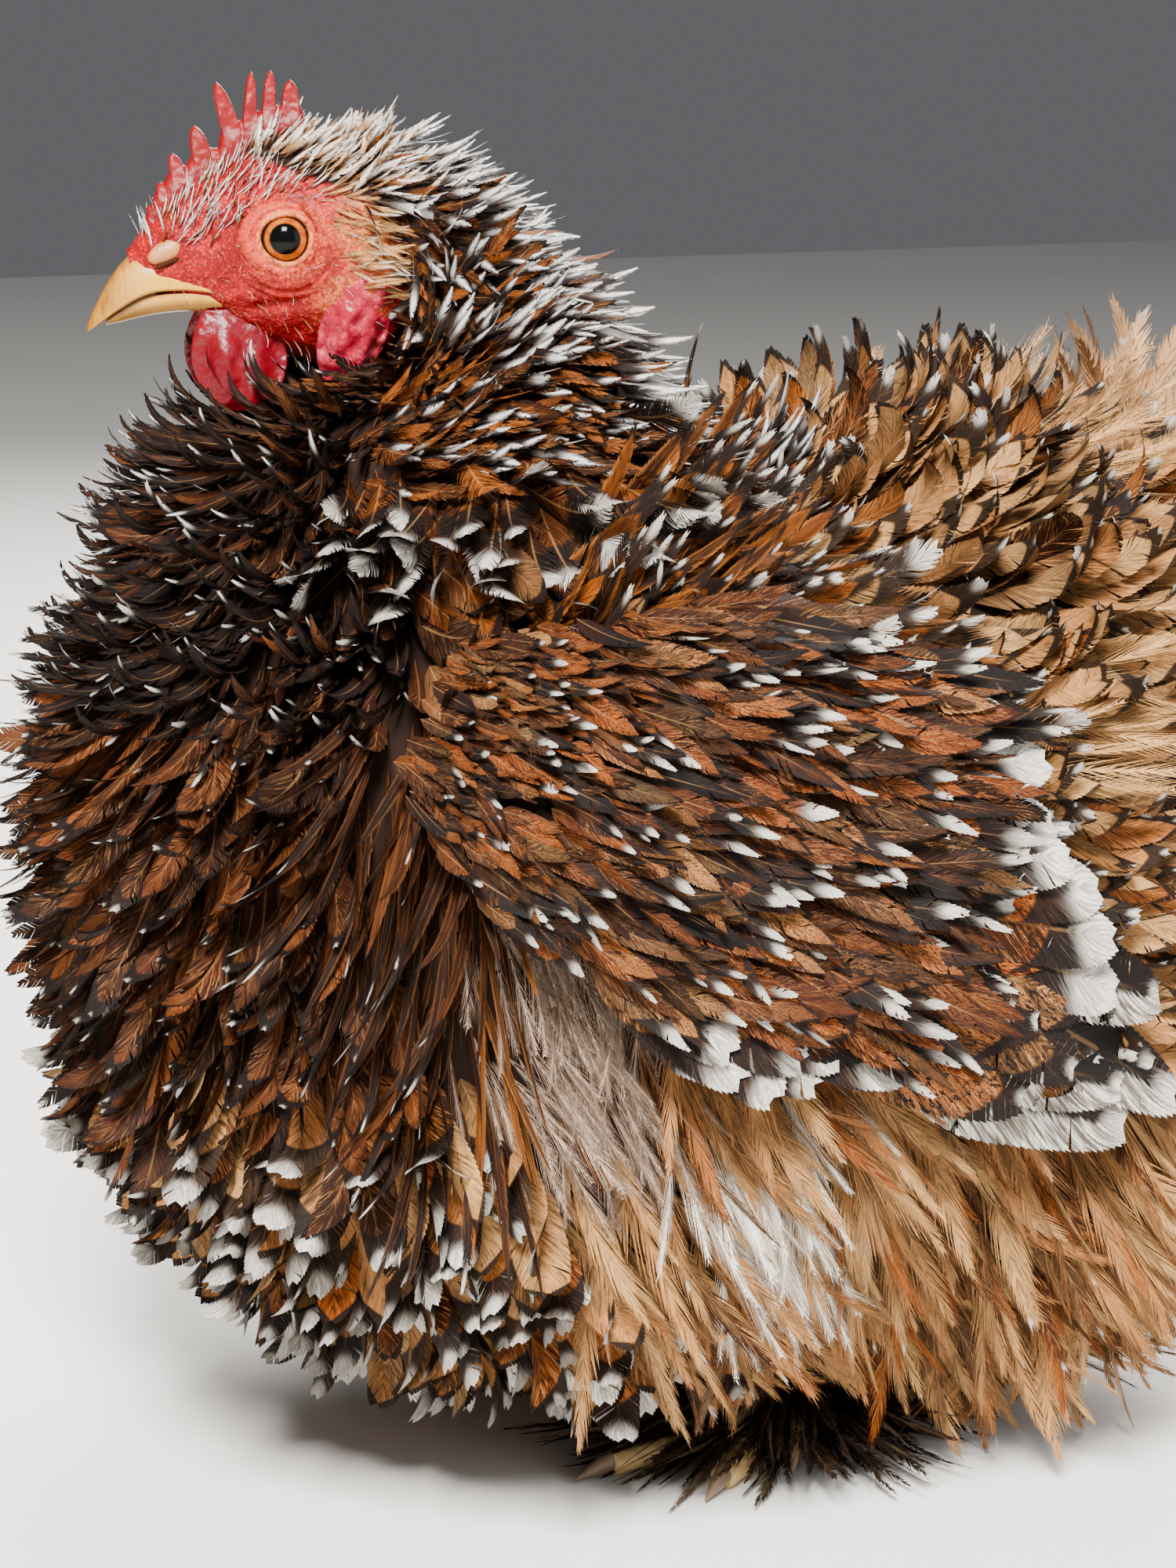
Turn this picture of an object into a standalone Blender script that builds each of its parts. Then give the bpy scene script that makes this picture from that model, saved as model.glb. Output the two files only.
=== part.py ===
"""A pekin bantam hen, life size, standing still with its head turned a little to its right.

The frame is in metres with +Z up. The bird faces -X, its left side is towards -Y, and the origin is on
the floor under the middle of the whole bird. Lengths in this file are millimetres, made metres in place().
Directions round the body are given as turn, in degrees from the breast (0) round the side to the tail
(180), and lift, in degrees above the middle of the body.
"""
import math
import random

import bmesh
import bpy
import numpy as np

MM = 0.001
GAP = 0.3
SHIFT_X = -15.1
LEFT, RIGHT = 1, -1

# The body: overlapping masses of feather, each an ellipsoid with its centre and half sizes.
BODY_CENTRE = np.array([0.0, 0.0, 95.0])
KEEL_MASS = ((-5, 0, 84), (97, 88, 78))
BREAST_MASS = ((-38, 0, 112), (67, 76, 60))
CROP_MASS = ((-28, 0, 72), (71, 80, 60))
CUSHION_MASS = ((50, 0, 120), (64, 62, 53))
FLUFF_MASS = ((36, 0, 58), (54, 77, 54))
LEFT_HIP_MASS = ((30, -34, 46), (44, 44, 40))
RIGHT_HIP_MASS = ((30, 34, 46), (44, 44, 40))
MASS_BLEND = 14
LEG_HOLLOW_SHARE = 0.2
LEG_HOLLOW_ANGLE = 26.0

# The head, in its own frame: forward, left and up from the middle of the skull.
HEAD_CENTRE = np.array([-59.2, 12.5, 193.0])
HEAD_TURN = 18.0
HEAD_PITCH = 3.0
HEAD_BACK = -14.0
HEAD_STATIONS = (-14, -6, 4, 14, 20, 24, 27)
HEAD_HALF_WIDTHS = (17.0, 15.4, 12.6, 8.4, 6.4, 4.9, 2.6)
HEAD_TOPS = (20.5, 19.8, 18.0, 13.6, 9.6, 6.0, 2.6)
HEAD_BOTTOMS = (-20.5, -19.0, -15.0, -9.4, -6.2, -4.4, -2.4)
BEAK_STATIONS = (8, 14, 20, 26, 30, 33, 34.4)
BEAK_HALF_WIDTHS = (8.0, 7.3, 6.0, 4.7, 3.5, 2.0, 0.7)
BEAK_TOPS = (-4.0, -1.5, 1.2, 2.3, -1.2, -5.8, -8.4)
BEAK_EDGES = (-6.6, -4.9, -3.9, -4.5, -6.6, -8.6, -9.6)
CHIN_STATIONS = (9, 14, 20, 26, 29.5, 31.5)
CHIN_HALF_WIDTHS = (7.4, 6.7, 5.3, 3.8, 2.4, 0.9)
CHIN_BOTTOMS = (-9.0, -8.0, -7.5, -7.9, -8.5, -8.8)
EYE_PLACE = (4.0, 9.2, 3.0)
EYE_RADIUS = 4.6
LID_RING = 4.1
LID_THICK = 0.95
EAR, EAR_SIZE = (-8.6, 15.9, 0.4), (2.0, 1.8, 2.6)

# The neck, from inside the body up and forward to the back of the head.
NECK_PATH = ((-30, 3, 116), (-26, 3, 164), (-34, 4, 196))
NECK_STATIONS = (0.0, 0.25, 0.5, 0.75, 1.0)
NECK_NAPES = (30, 33, 22.5, 16.5, 18.5)
NECK_THROATS = (50, 58, 50, 33, 20.5)
NECK_SIDES = (44, 55, 44, 29, 17.5)

HACKLE_DEPTH = 5.0
HACKLE_SINK = 7.5
# Rows of hackle: share of the neck's length, first and last place round it, count, length, half width.
HACKLE_ROWS = (
    (0.92, -96, 96, 9, 24, 5.0),
    (0.76, -112, 112, 12, 28, 6.2),
    (0.59, -122, 122, 14, 31, 7.4),
)

# A wing, in degrees over the body: along it from the wrist, and up across it.
WRIST_TURN, WRIST_LIFT, WING_SLOPE = 42.0, 11.5, 16.0
WING_STATIONS = (-3, 8, 24, 45, 72, 98)
WING_LOWS = (2, -4, -8, -9, -7, -4)
WING_HIGHS = (12, 21, 25, 26, 19, 3)
WING_CORE = 2.2
WING_CLEAR = 0.9
VANE_THICK = 0.6
VANE_TILT = 1.3
# Tiers of wing feathers: first root, last root, lengths, bearings, half width, heights at root and tip,
# count, and points across. Places, lengths and widths are degrees over the body; heights are millimetres.
WING_TIERS = (
    ((43, -6), (46, 0), (51, 53), (-1, 6), 3.4, (1.8, 3.2), 5, 2),
    ((38, -5), (40, 20), (37, 33), (-6, -2), 4.6, (2.2, 4.8), 7, 2),
    ((22, -6), (24, 21), (25, 26), (-9, 4), 4.4, (2.2, 6.4), 7, 2),
    ((6, -3), (8, 19), (22, 23), (-10, 6), 4.0, (2.2, 8.0), 6, 2),
)

TAIL_ROOT = np.array([88.0, 0.0, 128.0])
TAIL_LIFT = 18.0
TAIL_CORE = (30, 27, 32)
TAIL_RADIUS, TAIL_REACH = 20.0, 20.0
# Rings of tail feathers: opening angle, first and last place round the axis, count, length, half width.
TAIL_TIERS = (
    (14, -110, 110, 5, 32, 8.5),
    (34, -130, 130, 9, 34, 8.0),
    (56, -125, 125, 11, 33, 8.0),
    (76, -115, 115, 11, 28, 7.5),
)

LEG_X, LEG_Y = 8.0, 27.0
SHANK_RADIUS = 4.4
THIGH_TOP_RADIUS = 17.0
TOES = {"inner": (28.0, 26.0), "middle": (37.0, -4.0), "outer": (29.0, -34.0), "hind": (14.0, 170.0)}
TOE_RADIUS = 3.4
CLAW_LENGTH = 7.0
FOOT_VANES = 8


def unit(vectors):
    """Vectors made one long."""
    vectors = np.asarray(vectors, float)
    return vectors / np.linalg.norm(vectors, axis=-1, keepdims=True)


def through(stations, values, at):
    """A smooth curve through a few values: cubic, with each slope from the neighbours on both sides."""
    stations, values = np.asarray(stations, float), np.asarray(values, float)
    slopes = np.gradient(values, stations)
    at = np.clip(at, stations[0], stations[-1])
    k = np.clip(np.searchsorted(stations, at, side="right") - 1, 0, len(stations) - 2)
    width = stations[k + 1] - stations[k]
    s = (at - stations[k]) / width
    return (
        values[k] * (1 + 2 * s) * (1 - s) ** 2
        + values[k + 1] * s * s * (3 - 2 * s)
        + slopes[k] * width * s * (1 - s) ** 2
        - slopes[k + 1] * width * s * s * (1 - s)
    )


def paint(name, colour, roughness):
    """A plain material of one colour."""
    material = bpy.data.materials.new(name)
    material.use_nodes = True
    shader = material.node_tree.nodes["Principled BSDF"]
    shader.inputs["Base Color"].default_value = (*colour, 1.0)
    shader.inputs["Roughness"].default_value = roughness
    shader.inputs["Metallic"].default_value = 0.0
    return material


def place(name, points, triangles):
    """A closed mesh from points in millimetres, turned so that its faces point out."""
    points = (np.asarray(points, float) + (SHIFT_X, 0, 0)) * MM
    triangles = np.asarray(triangles, int)
    corners = points[triangles]
    if np.linalg.det(corners).sum() < 0:
        triangles = triangles[:, ::-1]
    mesh = bpy.data.meshes.new(name)
    mesh.from_pydata(points.tolist(), [], triangles.tolist())
    mesh.validate()
    body = bpy.data.objects.new(name, mesh)
    bpy.context.scene.collection.objects.link(body)
    return body


def rings_mesh(rings):
    """Points and triangles of a closed skin over a stack of rings, each end closed on its middle."""
    rings = np.asarray(rings, float)
    count, around = rings.shape[:2]
    i = np.arange(count - 1)[:, None] * around
    j = np.arange(around)[None, :]
    a, b = i + j, i + (j + 1) % around
    c, d = a + around, b + around
    sides = np.concatenate([np.stack([a, b, d], -1).reshape(-1, 3), np.stack([a, d, c], -1).reshape(-1, 3)])
    first, last = count * around, count * around + 1
    j = np.arange(around)
    k = (j + 1) % around
    start = np.stack([k, j, np.full(around, first)], -1)
    end = np.stack([(count - 1) * around + j, (count - 1) * around + k, np.full(around, last)], -1)
    points = np.concatenate([rings.reshape(-1, 3), [rings[0].mean(0), rings[-1].mean(0)]])
    return points, np.concatenate([sides, start, end])


def slab_mesh(outer, inner):
    """Points and triangles of a plate between two grids of points, split alike on both faces."""
    rows, columns = outer.shape[:2]
    points = np.concatenate([outer.reshape(-1, 3), inner.reshape(-1, 3)])
    index = np.arange(rows * columns).reshape(rows, columns)
    a, b, c, d = index[:-1, :-1], index[:-1, 1:], index[1:, 1:], index[1:, :-1]
    top = np.concatenate([np.stack([a, b, c], -1).reshape(-1, 3), np.stack([a, c, d], -1).reshape(-1, 3)])
    under = top[:, ::-1] + rows * columns
    rim = np.concatenate([index[0, :-1], index[:-1, -1], index[-1, :0:-1], index[:0:-1, 0]])
    after = np.roll(rim, -1)
    low, low_after = rim + rows * columns, after + rows * columns
    edge = np.concatenate([np.stack([rim, low, low_after], -1), np.stack([rim, low_after, after], -1)])
    return points, np.concatenate([top, under, edge])


def finished(thing):
    """Applies an object's modifiers to its mesh."""
    graph = bpy.context.evaluated_depsgraph_get()
    mesh = bpy.data.meshes.new_from_object(thing.evaluated_get(graph))
    old = thing.data
    thing.modifiers.clear()
    thing.data = mesh
    bpy.data.meshes.remove(old)
    return thing


def keep_largest(thing):
    """Leaves only the largest closed surface of a mesh, which fills sealed hollows and drops scraps."""
    form = bmesh.new()
    form.from_mesh(thing.data)
    bmesh.ops.triangulate(form, faces=form.faces)
    unseen = set(form.faces)
    bodies = []
    while unseen:
        start = unseen.pop()
        body, edge_of_search = [start], [start]
        while edge_of_search:
            face = edge_of_search.pop()
            for edge in face.edges:
                for other in edge.link_faces:
                    if other in unseen:
                        unseen.remove(other)
                        body.append(other)
                        edge_of_search.append(other)
        bodies.append(body)
    def volume(body):
        return sum(f.verts[0].co.dot(f.verts[1].co.cross(f.verts[2].co)) for f in body)
    bodies.sort(key=volume)
    scraps = [face for body in bodies[:-1] for face in body]
    bmesh.ops.delete(form, geom=scraps, context="FACES")
    form.to_mesh(thing.data)
    form.free()
    return thing


def combine(target, others, operation, solver="MANIFOLD"):
    """Joins other closed pieces to a target, or cuts them from it, with one Boolean, and removes them."""
    group = bpy.data.collections.new("pieces")
    for other in others:
        group.objects.link(other)
    modifier = target.modifiers.new("combine", "BOOLEAN")
    modifier.operation = operation
    modifier.operand_type = "COLLECTION"
    modifier.collection = group
    modifier.solver = solver
    finished(target)
    for other in others:
        bpy.data.objects.remove(other)
    bpy.data.collections.remove(group)
    return keep_largest(target)


def dress(thing, material, smooth=True):
    """Gives a piece its material, and smooth shading where it is round."""
    thing.data.materials.clear()
    thing.data.materials.append(material)
    if smooth:
        thing.data.shade_smooth()
        thing.data.set_sharp_from_angle(angle=math.radians(50))
    return thing


def heading(turn, lift, side=LEFT):
    """Unit directions from the middle of the body."""
    turn, lift = np.radians(turn), np.radians(lift)
    return np.stack([-np.cos(turn) * np.cos(lift), -side * np.sin(turn) * np.cos(lift),
                     np.sin(lift) * np.ones_like(turn)], -1)


def mass_reach(directions, mass):
    """How far a direction from the middle of the body goes to the far side of one mass."""
    centre, radii = (np.array(value, float) for value in mass)
    offset = (BODY_CENTRE - centre) / radii
    along = directions / radii
    a, b, c = (along**2).sum(-1), (along * offset).sum(-1), (offset**2).sum() - 1
    room = b * b - a * c
    return np.where(room > 0, np.maximum(-b + np.sqrt(np.maximum(room, 0)), 0), 0) / a


def body_reach(directions):
    """How far the body goes in a direction: its masses blended, less the hollow round the legs."""
    masses = (KEEL_MASS, BREAST_MASS, CROP_MASS, CUSHION_MASS, FLUFF_MASS, LEFT_HIP_MASS, RIGHT_HIP_MASS)
    blended = sum(mass_reach(directions, mass) ** MASS_BLEND for mass in masses) ** (1 / MASS_BLEND)
    from_below = np.degrees(np.arccos(np.clip(-directions[..., 2], -1, 1)))
    return blended * (1 - LEG_HOLLOW_SHARE * np.exp(-((from_below / LEG_HOLLOW_ANGLE) ** 2)))


def over_body(turn, lift, height, side=LEFT):
    """Points at a height over the body's surface."""
    directions = heading(turn, lift, side)
    return BODY_CENTRE + directions * (body_reach(directions) + height)[..., None]


def body_mesh(height):
    """The body's closed surface, swelled by a height."""
    turn, lift = np.meshgrid(np.arange(0, 360, 10.0), np.arange(-82, 83, 8.2))
    rings = over_body(turn, lift, np.full(turn.shape, float(height)))
    points, triangles = rings_mesh(rings)
    poles = over_body(np.zeros(2), np.array([-90.0, 90.0]), np.full(2, float(height)))
    points[-2:] = poles
    return points, triangles


def body_cutter():
    """A copy of the body one gap larger, to cut what grows from it."""
    return place("body_cutter", *body_mesh(GAP))


def head_axes():
    """The head's forward, left and up directions."""
    turn, pitch = math.radians(HEAD_TURN), math.radians(HEAD_PITCH)
    forward = np.array([-math.cos(turn) * math.cos(pitch), math.sin(turn) * math.cos(pitch), -math.sin(pitch)])
    left = unit(np.cross((0, 0, 1), forward))
    return np.stack([forward, left, np.cross(forward, left)])


def from_head(points):
    """Points given as forward, left and up in the head's frame, placed in the bird's."""
    return HEAD_CENTRE + np.asarray(points, float) @ head_axes()


def head_rings(stations, half_widths, tops, bottoms, at, around, square=2.2):
    """Oval rings across the head's length, in the bird's frame, squarer for a higher power."""
    angle = np.linspace(0, 2 * math.pi, around, endpoint=False)
    half = through(stations, half_widths, at)[:, None]
    top = through(stations, tops, at)[:, None]
    bottom = through(stations, bottoms, at)[:, None]
    across, up = np.cos(angle), np.sin(angle)
    power = 2 / square
    left = half * np.sign(across) * np.abs(across) ** power
    height = (top + bottom) / 2 + (top - bottom) / 2 * np.sign(up) * np.abs(up) ** power
    forward = np.broadcast_to(at[:, None], left.shape)
    return from_head(np.stack([forward, left, height], -1))


def ball_mesh(centre, radii, axes, around=20, rings=12):
    """An ellipsoid with half sizes along three axes."""
    lift = np.linspace(-math.pi / 2, math.pi / 2, rings + 2)[1:-1]
    angle = np.linspace(0, 2 * math.pi, around, endpoint=False)
    lift, angle = np.meshgrid(lift, angle, indexing="ij")
    shape = np.stack([np.cos(lift) * np.cos(angle), np.cos(lift) * np.sin(angle), np.sin(lift)], -1)
    axes = np.asarray(axes, float)
    points, triangles = rings_mesh(centre + (shape * radii) @ axes)
    points[-2:] = centre - axes[2] * radii[2], centre + axes[2] * radii[2]
    return points, triangles


def ring_mesh(centre, axes, radius, thickness, around=20, sides=6):
    """A round ring lying across the third axis."""
    turn = np.linspace(0, 2 * math.pi, around, endpoint=False)
    roll = np.linspace(0, 2 * math.pi, sides, endpoint=False)
    turn, roll = np.meshgrid(turn, roll, indexing="ij")
    reach = radius + thickness * np.cos(roll)
    shape = np.stack([reach * np.cos(turn), reach * np.sin(turn), thickness * np.sin(roll)], -1)
    points = centre + shape @ np.asarray(axes, float)
    index = np.arange(around * sides).reshape(around, sides)
    a, b = index, np.roll(index, -1, 1)
    c, d = np.roll(b, -1, 0), np.roll(a, -1, 0)
    triangles = np.concatenate([np.stack([a, b, c], -1).reshape(-1, 3), np.stack([a, c, d], -1).reshape(-1, 3)])
    return points.reshape(-1, 3), triangles


def beak_rings(stations, half_widths, tops, edges, at, around, grow=0.0):
    """Rings of half a beak: an arch over a flat edge, swelled by a margin."""
    angle = np.linspace(0, math.pi, around - 3)
    half = through(stations, half_widths, at)[:, None] + grow
    top = through(stations, tops, at)[:, None]
    edge = through(stations, edges, at)[:, None]
    away = np.sign(top - edge) * grow
    left = half * np.cos(angle)
    height = edge + (top + away - edge) * np.sin(angle) ** 0.8
    flat = edge - away
    left = np.concatenate([left, -half, half * 0, half], 1)
    height = np.concatenate([height, flat, flat, flat], 1)
    forward = np.broadcast_to(at[:, None], left.shape)
    return from_head(np.stack([forward, left, height], -1))


def upper_beak_mesh(grow):
    """The upper half of the beak, hooked at its tip."""
    at = np.array([8, 12, 16, 20, 24, 27, 30, 32.5, 34.4])
    return rings_mesh(beak_rings(BEAK_STATIONS, BEAK_HALF_WIDTHS, BEAK_TOPS, BEAK_EDGES, at, 14, grow))


def lower_beak_mesh(grow):
    """The lower half of the beak, one gap under the upper."""
    at = np.array([9, 13, 17, 21, 25, 29, 31.5])
    edges = through(BEAK_STATIONS, BEAK_EDGES, np.array(CHIN_STATIONS, float)) - 0.5
    return rings_mesh(beak_rings(CHIN_STATIONS, CHIN_HALF_WIDTHS, CHIN_BOTTOMS, edges, at, 11, grow))


def eye_axes(side):
    """Axes of an eye, the third out of the head and a little forward."""
    forward, left, up = head_axes()
    out = unit(side * left + 0.16 * forward + 0.06 * up)
    across = unit(np.cross(up, out))
    return np.stack([across, np.cross(out, across), out])


def eye_centre(side):
    """The middle of an eyeball."""
    forward, left, up = EYE_PLACE
    return from_head((forward, side * left, up))


def comb_mesh():
    """The single comb: a low blade along the crown."""
    at = np.linspace(0, 1, 8)
    forward = through((0, 0.5, 1), (-1.0, 12, 25), at)
    base = through((0, 0.5, 1), (15.0, 11.0, 2.2), at)
    top = through((0, 0.15, 0.5, 0.82, 1), (20.6, 22.0, 17.2, 11.6, 4.8), at)
    thick = through((0, 0.5, 1), (1.5, 1.7, 0.9), at)
    rings = []
    for f, low, high, half in zip(forward, base, top, thick):
        rings.append([(f, half, low), (f, half, (low + high) / 2), (f, half * 0.5, high - 0.4), (f, 0, high),
                      (f, -half * 0.5, high - 0.4), (f, -half, (low + high) / 2), (f, -half, low)])
    return rings_mesh(from_head(np.array(rings, float)))


def spike_mesh(base, tip, half_length, half_width):
    """One point of the comb, from the blade up to its rounded tip."""
    base, tip = np.array(base, float), np.array(tip, float)
    at = np.array([0.0, 0.4, 0.85, 1.0])
    swell = np.array([1.0, 0.6, 0.36, 0.14])
    angle = np.linspace(0, 2 * math.pi, 6, endpoint=False)
    rings = []
    for share, size in zip(at, swell):
        f, u = base + (tip - base) * share
        rings.append([(f + half_length * size * math.cos(a), half_width * (0.45 + 0.55 * size) * math.sin(a), u)
                      for a in angle])
    return rings_mesh(from_head(np.array(rings)))


COMB_SPIKES = (
    ((23.4, 5.0), (24.2, 8.9), 1.2, 0.9),
    ((21.8, 8.2), (22.8, 12.2), 1.4, 1.1),
    ((19.4, 10.5), (20.4, 16.5), 1.8, 1.2),
    ((15.4, 12.5), (16.1, 20.5), 2.4, 1.4),
    ((10.2, 15.0), (12.3, 26.9), 2.2, 1.5),
    ((7.2, 16.5), (6.3, 28.1), 2.0, 1.5),
    ((4.2, 17.5), (3.2, 28.1), 1.9, 1.5),
    ((0.8, 17.5), (0.3, 26.6), 2.4, 1.5),
)


def lobe_mesh(top, length, width, thick, side, sway, spread, fold):
    """A hanging lobe of skin: oval and thick in the middle, with folds that run down it."""
    at = np.array([0.0, 0.15, 0.4, 0.65, 0.85, 0.96, 1.0])
    swell = np.array([0.62, 0.82, 1.0, 0.95, 0.72, 0.42, 0.16])
    angle = np.linspace(0, 2 * math.pi, 14, endpoint=False)
    f0, l0, u0 = top
    rings = []
    for share, size in zip(at, swell):
        middle = (f0 - sway * share, side * (l0 + spread * share), u0 - length * share)
        half = thick / 2 * (0.55 + 0.45 * size)
        ripple = [fold * size * math.sin(3.4 * math.cos(a) + 2.0 * share) for a in angle]
        rings.append([(middle[0] + width / 2 * size * math.cos(a), middle[1] + half * math.sin(a) + wave,
                       middle[2]) for a, wave in zip(angle, ripple)])
    return rings_mesh(from_head(np.array(rings)))


def nostril_flaps(grow):
    """The low horny flap over each nostril, swelled by a margin."""
    sizes = (3.0 + grow, 1.3 + grow, 1.3 + grow)
    return [place("flap", *ball_mesh(from_head((23.3, s * 3.6, 1.9)), sizes, head_axes(), 8, 4))
            for s in (LEFT, RIGHT)]


def make_head(skin, horn, comb_skin, eye_clear):
    """The head with its beak, comb, wattles, ear lobes, lids and eyes, each its own piece."""
    at = np.array([-14, -10, -6, -2, 2, 6, 10, 14, 18, 21.5, 24.5, 27])
    rings = head_rings(HEAD_STATIONS, HEAD_HALF_WIDTHS, HEAD_TOPS, HEAD_BOTTOMS, at, 22)
    head = place("head", *rings_mesh(rings))
    lids = [place("lid", *ring_mesh(eye_centre(s) + eye_axes(s)[2] * 2.5, eye_axes(s), LID_RING, LID_THICK, 12, 5))
            for s in (LEFT, RIGHT)]
    combine(head, lids, "UNION")
    comb = place("comb", *comb_mesh())
    combine(comb, [place("spike", *spike_mesh(*spike)) for spike in COMB_SPIKES], "UNION")
    wattles, ears, eyes = [], [], []
    for side, word in ((LEFT, "left"), (RIGHT, "right")):
        wattles.append(place(f"wattle_{word}", *lobe_mesh((12.5, 4.8, -7.2), 13.6, 14.5, 2.8, side, 1.0, 2.8, 0.9)))
        ears.append(place(f"earlobe_{word}", *lobe_mesh((-8.0, 14.3, -4.0), 15.0, 9.5, 4.6, side, -5.0, -2.2, 0.5)))
        eyes.append(place(f"eye_{word}", *ball_mesh(eye_centre(side), (EYE_RADIUS,) * 3, eye_axes(side), 14, 7)))
    sockets = [place("socket", *ball_mesh(eye_centre(s), (EYE_RADIUS + GAP,) * 3, eye_axes(s), 14, 7))
               for s in (LEFT, RIGHT)]
    beak_holes = [place("upper_hole", *upper_beak_mesh(GAP)), place("lower_hole", *lower_beak_mesh(GAP)),
                  *nostril_flaps(GAP)]
    ear_holes = [place("ear", *ball_mesh(from_head((EAR[0], s * EAR[1], EAR[2])), EAR_SIZE, head_axes(), 8, 4))
                 for s in (LEFT, RIGHT)]
    combine(head, sockets + beak_holes + ear_holes, "DIFFERENCE")
    upper = place("beak_upper", *upper_beak_mesh(0.0))
    combine(upper, nostril_flaps(0.0), "UNION")
    slits = [place("slit", *ball_mesh(from_head((22.6, s * 4.6, 0.3)), (2.0, 1.3, 0.6), head_axes(), 8, 3))
             for s in (LEFT, RIGHT)]
    combine(upper, slits, "DIFFERENCE")
    lower = place("beak_lower", *lower_beak_mesh(0.0))
    mask = head_rings(HEAD_STATIONS, np.array(HEAD_HALF_WIDTHS) + GAP, np.array(HEAD_TOPS) + GAP,
                      np.array(HEAD_BOTTOMS) - GAP, at, 22)
    for piece in [comb, *ears]:
        combine(piece, [place("mask", *rings_mesh(mask))], "DIFFERENCE")
    for piece in wattles:
        combine(piece, [place("mask", *rings_mesh(mask)), place("chin", *lower_beak_mesh(GAP)),
                        place("bill", *upper_beak_mesh(GAP))], "DIFFERENCE")
    combine(comb, [place("bill", *upper_beak_mesh(GAP)), *nostril_flaps(GAP)], "DIFFERENCE")
    for piece in [head, comb, *wattles, *ears]:
        dress(piece, comb_skin if piece is not head else skin)
    for piece in (upper, lower):
        dress(piece, horn)
    for piece in eyes:
        dress(piece, eye_clear)


def neck_frame(t):
    """Middles of the neck and its nape, left and along directions, for shares of its length from the body up."""
    t = np.asarray(t, float)[..., None]
    head_end = from_head((HEAD_BACK - GAP, 0, 0))
    p0, p1, p2 = (np.array(point, float) for point in NECK_PATH)
    middle = (1 - t) ** 3 * p0 + 3 * t * (1 - t) ** 2 * p1 + 3 * t * t * (1 - t) * p2 + t**3 * head_end
    axes = head_axes()
    rising = unit(3 * (1 - t) ** 2 * (p1 - p0) + 6 * t * (1 - t) * (p2 - p1) + 3 * t * t * (head_end - p2))
    along = unit(rising * (1 - t**4) + axes[0] * t**4)
    left = unit((1 - t) * np.array([0.0, -1.0, 0.0]) + t * axes[1])
    left = unit(left - (left * along).sum(-1, keepdims=True) * along)
    return middle, np.cross(along, left), left, along


def over_neck(t, around, height=0.0):
    """Points over the neck: around is 0 at the nape, 90 on the left and 180 at the throat."""
    t, around = np.broadcast_arrays(np.asarray(t, float), np.radians(around))
    middle, nape, left, _ = neck_frame(t)
    front = through(NECK_STATIONS, NECK_THROATS, t)
    back = through(NECK_STATIONS, NECK_NAPES, t)
    side = through(NECK_STATIONS, NECK_SIDES, t)
    upright = np.where(np.cos(around) > 0, back, front)
    return (middle + nape * ((upright + height) * np.cos(around))[..., None]
            + left * ((side + height) * np.sin(around))[..., None])


def free_vane(root, along, normal, length, half_width, lift, curl, roll=0.0, thick=VANE_THICK, columns=2):
    """A tapered feather that grows along a surface, rolled like a louvre, and curls away from it."""
    s = np.array([0.0, 0.42, 0.82, 1.0])
    width = half_width * np.array([0.35, 1.0, 0.85, 0.18])
    across = unit(np.cross(normal, along))
    middle = np.radians(lift + curl * (s[1:] + s[:-1]) / 2)
    steps = np.diff(s)[:, None] * length
    moves = steps * (np.cos(middle)[:, None] * along + np.sin(middle)[:, None] * normal)
    spine = root + np.concatenate([np.zeros((1, 3)), np.cumsum(moves, 0)])
    slope = np.radians(lift + curl * s)
    facing = np.cos(slope)[:, None] * normal - np.sin(slope)[:, None] * along
    share = np.linspace(-1, 1, columns)
    tip_turn = np.radians(roll)
    sideways = math.cos(tip_turn) * across + math.sin(tip_turn) * facing
    grid = spine[:, None] + sideways[:, None] * (width[:, None] * share)[..., None]
    facing = math.cos(tip_turn) * facing - math.sin(tip_turn) * across
    taper = thick * np.array([1, 1, 1, 0.7])[:, None, None] / 2
    return slab_mesh(grid + facing[:, None] * taper, grid - facing[:, None] * taper)


def hackle_vanes():
    """The feathers of the neck, in rows that hang down it and stand off at their tips."""
    dice = random.Random(5)
    vanes = []
    for t, first, last, count, length, half_width in HACKLE_ROWS:
        for k in range(count):
            around = first + (last - first) * (k + dice.uniform(-0.1, 0.1)) / (count - 1)
            root = over_neck(t, around, -HACKLE_SINK)
            down = unit(over_neck(t - 0.04, around) - over_neck(t, around))
            aside = over_neck(t, around + 2) - over_neck(t, around - 2)
            out = unit(np.cross(down, aside))
            out = out * np.sign((out * (over_neck(t, around) - neck_frame(t)[0])).sum())
            grown = length * dice.uniform(0.9, 1.1)
            vanes.append(place("vane", *free_vane(root, down, out, grown, half_width,
                                                  12, dice.uniform(0, 8), 12)))
    return vanes


def make_neck(coat):
    """The neck with its full hackle, cut where it stands on the body."""
    t, around = np.meshgrid(np.linspace(0, 1, 10), np.arange(0, 360, 20.0), indexing="ij")
    bare = HACKLE_DEPTH * np.sin(math.pi * t) ** 0.5 * (0.5 + 0.5 * np.cos(np.radians(around))) ** 0.4
    neck = place("neck", *rings_mesh(over_neck(t, around, -bare)))
    combine(neck, hackle_vanes(), "UNION")
    combine(neck, [body_cutter()], "DIFFERENCE")
    dress(neck, coat)


def over_wing(along, up, height, side):
    """Points over a wing's own map of the body's side."""
    slope = math.radians(WING_SLOPE)
    turn = WRIST_TURN + along * math.cos(slope) + up * math.sin(slope)
    lift = WRIST_LIFT - along * math.sin(slope) + up * math.cos(slope)
    return over_body(turn, lift, height, side)


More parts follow.
